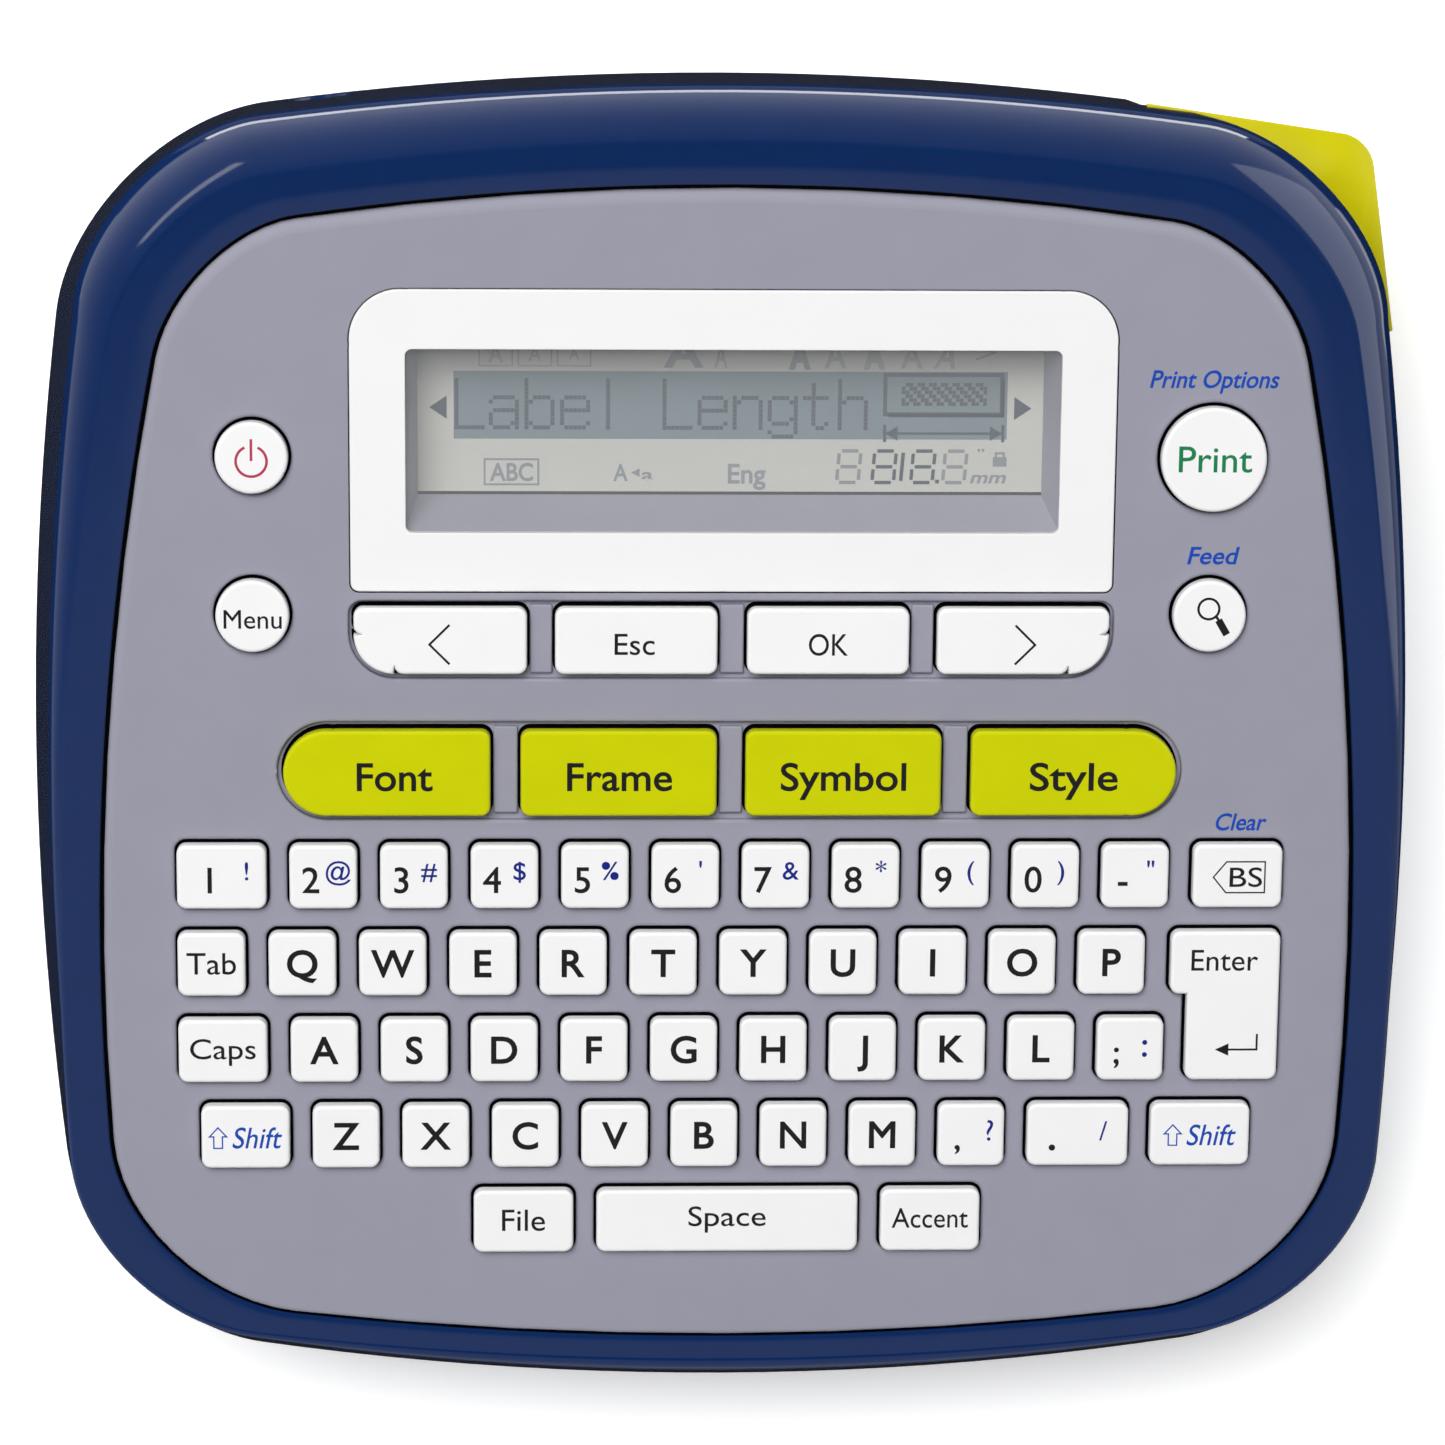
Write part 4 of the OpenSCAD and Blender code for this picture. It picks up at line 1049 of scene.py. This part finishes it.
def build_legends():
    """Legends of all the keys and the panel, one piece for each body and colour."""
    inks = {}

    def ink(body, colour):
        surface = 0.0 if body == "chassis" else KEY_RISE
        return inks.setdefault((body, colour), Print(surface - INK_SUNK, INK_T))

    for row, word in LETTERS.items():
        for i, letter in enumerate(word):
            x, y = centre_of(row, i)
            ink(row, "black").text(letter, x, y + 0.1, 3.15, weight=0.018)
    row = "keys_number_row"
    for i, (figure, symbol) in enumerate(zip(NUMBERS, SYMBOLS)):
        x, y = centre_of(row, i)
        ink(row, "black").text(figure, x - (1.45 if i else 1.35), y - 0.35, 3.0, weight=0.008)
        ink(row, "symbol").text(symbol, x + (1.75 if i else 2.9), y + 0.75, 2.1, weight=0.006)
    for row, i, colour, mark, dx, dy, height, weight in MARKS:
        x, y = centre_of(row, i)
        ink(row, colour).text(mark, x + dx, y + dy, height, weight=weight)
    for name, word, dx, dy, height, width in WORDS:
        node = "key_" + name
        x, y = centre_of(node)
        weight = 0.012 if node in LIME_KEYS else 0.004 if name == "print" else 0.002
        colour = "green" if name == "print" else "black"
        ink(node, colour).text(word, x + dx, y + dy, height, width, weight=weight)

    for node, side, dx in (("key_left", -1, -0.1), ("key_right", 1, 0.2)):
        x, y = centre_of(node) + (dx, -0.35)
        ink(node, "black").stroke([(x - side * 1.15, y + 2.3), (x + side * 1.15, y),
                                   (x - side * 1.15, y - 2.3)], 0.26)
    power_icon(ink("key_power", "red"))
    magnifier(ink("key_preview", "black"))
    enter_legend(ink("key_enter", "black"))
    x, y = centre_of("key_backspace")
    ink("key_backspace", "black").stroke(
        [(x - 2.85, y - 0.1), (x - 1.35, y + 1.75), (x + 3.15, y + 1.75), (x + 3.15, y - 1.95),
         (x - 1.35, y - 1.95)], 0.17, True)
    for node in ("key_shift_left", "key_shift_right"):
        x, y = centre_of(node)
        blue = ink(node, "blue")
        blue.text("Shift", x + 1.45, y - 0.05, 2.5, 5.6, italic=0.2, weight=0.004)
        blue.stroke(shift_arrow(x - 3.2, y - 0.05), 0.16, True)
    for node, word, dx, dy, width in NOTES:
        x, y = centre_of(node)
        ink("chassis", "blue").text(word, x + dx, y + dy, NOTE_HEIGHT, width, NOTE_SLANT, 0.014)

    for (body, colour), made in sorted(inks.items()):
        material = "symbol_blue" if colour == "symbol" else "legend_" + colour
        under = "panel_grey" if body == "chassis" else "key_white"
        if body in LIME_KEYS:
            under = "key_lime"
        made.build(f"legend_{body}_{colour}", body, material, under)


def shift_arrow(x, y):
    """Outline of a broad arrow that points up."""
    w, h, stem, neck = 1.0, 1.25, 0.5, 0.15
    return [(x, y + h), (x - w, y + neck), (x - stem, y + neck), (x - stem, y - h),
            (x + stem, y - h), (x + stem, y + neck), (x + w, y + neck)]


def power_icon(ink):
    x, y = centre_of("key_power")
    ink.stroke(arc(x, y - 0.35, 1.75, 115, 425, 36), 0.3)
    ink.stroke([(x, y + 2.2), (x, y - 0.3)], 0.3)


def magnifier(ink):
    x, y = centre_of("key_preview")
    ink.stroke(arc(x - 0.15, y + 0.9, 1.2, 0, 360, 40)[:-1], 0.28, True)
    ink.stroke([(x + 0.7, y + 0.05), (x + 1.15, y - 0.6)], 0.3)
    ink.stroke([(x + 1.0, y - 0.4), (x + 2.0, y - 2.1)], 0.85)


def enter_legend(ink):
    """Word at the top of the L-shaped key, and a bent arrow in its corner."""
    (x0, y0), (x1, y1) = key_box("key_enter")
    ink.text("Enter", (x0 + x1) / 2 - 0.1, y1 - 3.45, 2.5, 7.8, weight=0.002)
    x, y = x1 - 4.85, y0 + 3.75
    ink.stroke([(x + 2.4, y + 1.9), (x + 2.4, y), (x - 1.6, y)], 0.24)
    ink.arrowhead(x - 2.5, y, -1.6, 0.75)


# ---- CAD nodes that stay ----

# Rounding of the edges of CAD nodes that differ from the usual one
EDGES = {"bottom_housing": 0, "back_cover": 0.25, "cutter_lever": 0.35, "rubber_feet": 0.4,
         "tape_cassette": 0.4}
USUAL_EDGE = 0.12


def dress_nodes():
    """Gives every CAD node its record finish, with softened edges."""
    slots = {sub["node"]: sub["material_slot"] for sub in frame["record"]["subparts"]}
    for name, obj in frame["nodes"].items():
        if obj.hide_render:
            continue
        slot = slots[name]
        obj.data.materials.clear()
        obj.data.materials.append(M[slot])
        obj.data.polygons.foreach_set("material_index", [0] * len(obj.data.polygons))
        obj.data.polygons.foreach_set("use_smooth", [True] * len(obj.data.polygons))
        weld = obj.modifiers.new("weld", "WELD")
        weld.merge_threshold = 2e-6
        width = EDGES.get(name, USUAL_EDGE)
        if width:
            bevel = obj.modifiers.new("edges", "BEVEL")
            bevel.width = width * MM
            bevel.segments = 2
            bevel.limit_method = "ANGLE"
            bevel.angle_limit = math.radians(40)
            bevel.use_clamp_overlap = True
        split = obj.modifiers.new("split", "EDGE_SPLIT")
        split.split_angle = math.radians(32)


# ---- floor and light ----

FLOOR_HALF = 3.0
FLOOR_GLOW = 0.35


def build_stage():
    """White floor, lit from within so that it shows as plain white paper, and the world."""
    mesh = bpy.data.meshes.new("floor")
    s = FLOOR_HALF
    mesh.from_pydata([(-s, -s, 0), (s, -s, 0), (s, s, 0), (-s, s, 0)], [], [[0, 1, 2, 3]])
    paper = plastic("floor", (0.93, 0.93, 0.93), 0.7, 0.004, 40, 0.0, specular=0.1, cloud=2)
    lit = paper.node_tree.nodes["Principled BSDF"]
    lit.inputs["Emission Color"].default_value = (1, 1, 1, 1)
    lit.inputs["Emission Strength"].default_value = FLOOR_GLOW
    mesh.materials.append(paper)
    floor = bpy.data.objects.new("floor", mesh)
    scene.collection.objects.link(floor)
    floor.visible_glossy = False
    studio_dome()


def math_node(tree, operation, a, b=None, clamp=False):
    """Output of a math node; a and b are numbers or sockets."""
    node = tree.nodes.new("ShaderNodeMath")
    node.operation = operation
    node.use_clamp = clamp
    for socket, value in zip(node.inputs, (a, b)):
        if value is None:
            continue
        if isinstance(value, (int, float)):
            socket.default_value = value
        else:
            tree.links.new(value, socket)
    return node.outputs[0]


def smooth_range(tree, source, low, high, start, end):
    """Output that eases from start to end while the source goes from low to high."""
    node = tree.nodes.new("ShaderNodeMapRange")
    node.interpolation_type = "SMOOTHSTEP"
    for name, value in (("From Min", low), ("From Max", high), ("To Min", start), ("To Max", end)):
        node.inputs[name].default_value = value
    tree.links.new(source, node.inputs["Value"])
    return node.outputs[0]


# Brightness of the studio by angle in degrees from a point just in front of the zenith
DOME = [(0, 0.02), (14, 0.03), (20, 0.2), (26, 0.3), (34, 0.37), (42, 0.5), (51, 0.75),
        (60, 1.05), (70, 1.45), (82, 2.0), (90, 2.2), (95, 0.03)]
DOME_SPAN = 100
DOME_TILT = 6


def studio_dome():
    """White room, dark straight overhead and brighter towards the horizon and the back."""
    world = bpy.data.worlds.new("studio")
    scene.world = world
    world.use_nodes = True
    world.cycles_visibility.diffuse = False
    tree = world.node_tree
    back = tree.nodes["Background"]
    back.inputs["Color"].default_value = (1, 1, 1, 1)
    coords = tree.nodes.new("ShaderNodeTexCoord")
    turn = tree.nodes.new("ShaderNodeVectorMath")
    turn.operation = "DOT_PRODUCT"
    tilt = math.radians(DOME_TILT)
    turn.inputs[1].default_value = (0, -math.sin(tilt), math.cos(tilt))
    tree.links.new(coords.outputs["Generated"], turn.inputs[0])
    angle = math_node(tree, "ARCCOSINE", turn.outputs["Value"])
    share = math_node(tree, "DIVIDE", angle, math.radians(DOME_SPAN), True)
    peak = max(v for _, v in DOME)
    curve = ramp_node(tree, share, [(d / DOME_SPAN, [v / peak] * 3) for d, v in DOME])
    split = tree.nodes.new("ShaderNodeSeparateXYZ")
    tree.links.new(coords.outputs["Generated"], split.inputs[0])
    side = smooth_range(tree, split.outputs["Y"], -0.5, 0.8, 0.45, 1.0)
    front = smooth_range(tree, split.outputs["Y"], -0.32, -0.43, 0.0, 0.26)
    strength = math_node(tree, "MULTIPLY", curve.outputs[0], side)
    strength = math_node(tree, "MULTIPLY", strength, peak)
    strength = math_node(tree, "ADD", strength, front)
    tree.links.new(strength, back.inputs["Strength"])


# One soft light falls on the surfaces; the others only show in the gloss.
# Name, place, level above the origin that it points at, width, height, radiance, in the gloss
LIGHTS = [("overhead", (-0.4, 0.45, 1.9), 0, 1.4, 1.2, 10.6, False),
          ("back_strip", (0, 1.6, 0.0), 0.05, 1.9, 0.26, 10, True),
          ("back_table", (0, 1.6, -0.5), 0.05, 2.4, 0.7, 0.35, True),
          ("right_strip", (1.5, 0.45, 0.02), 0.05, 0.9, 0.25, 3, True),
          ("right_window", (1.1, 0.2, 1.0), 0.05, 1.4, 0.95, 1.9, True),
          ("left_window", (-0.75, 0.45, 1.6), 0.05, 0.8, 0.12, 3.5, True),
          ("left_strip", (-1.5, 0.55, 0.02), 0.05, 0.7, 0.12, 1.5, True)]


def build_lights():
    for name, place, level, width, height, radiance, glossy in LIGHTS:
        light = bpy.data.lights.new(name, "AREA")
        light.shape = "RECTANGLE"
        light.size, light.size_y = width, height
        light.energy = radiance * math.pi * width * height
        obj = bpy.data.objects.new(name, light)
        obj.location = place
        obj.rotation_mode = "QUATERNION"
        aim = Vector((0, 0, level)) - Vector(place)
        obj.rotation_quaternion = aim.to_track_quat("-Z", "Y")
        obj.visible_glossy = glossy
        obj.visible_diffuse = not glossy
        scene.collection.objects.link(obj)


build_keys()
build_panel()
build_top_shell()
build_bezel()
build_display()
build_legends()
dress_nodes()
build_stage()
build_lights()
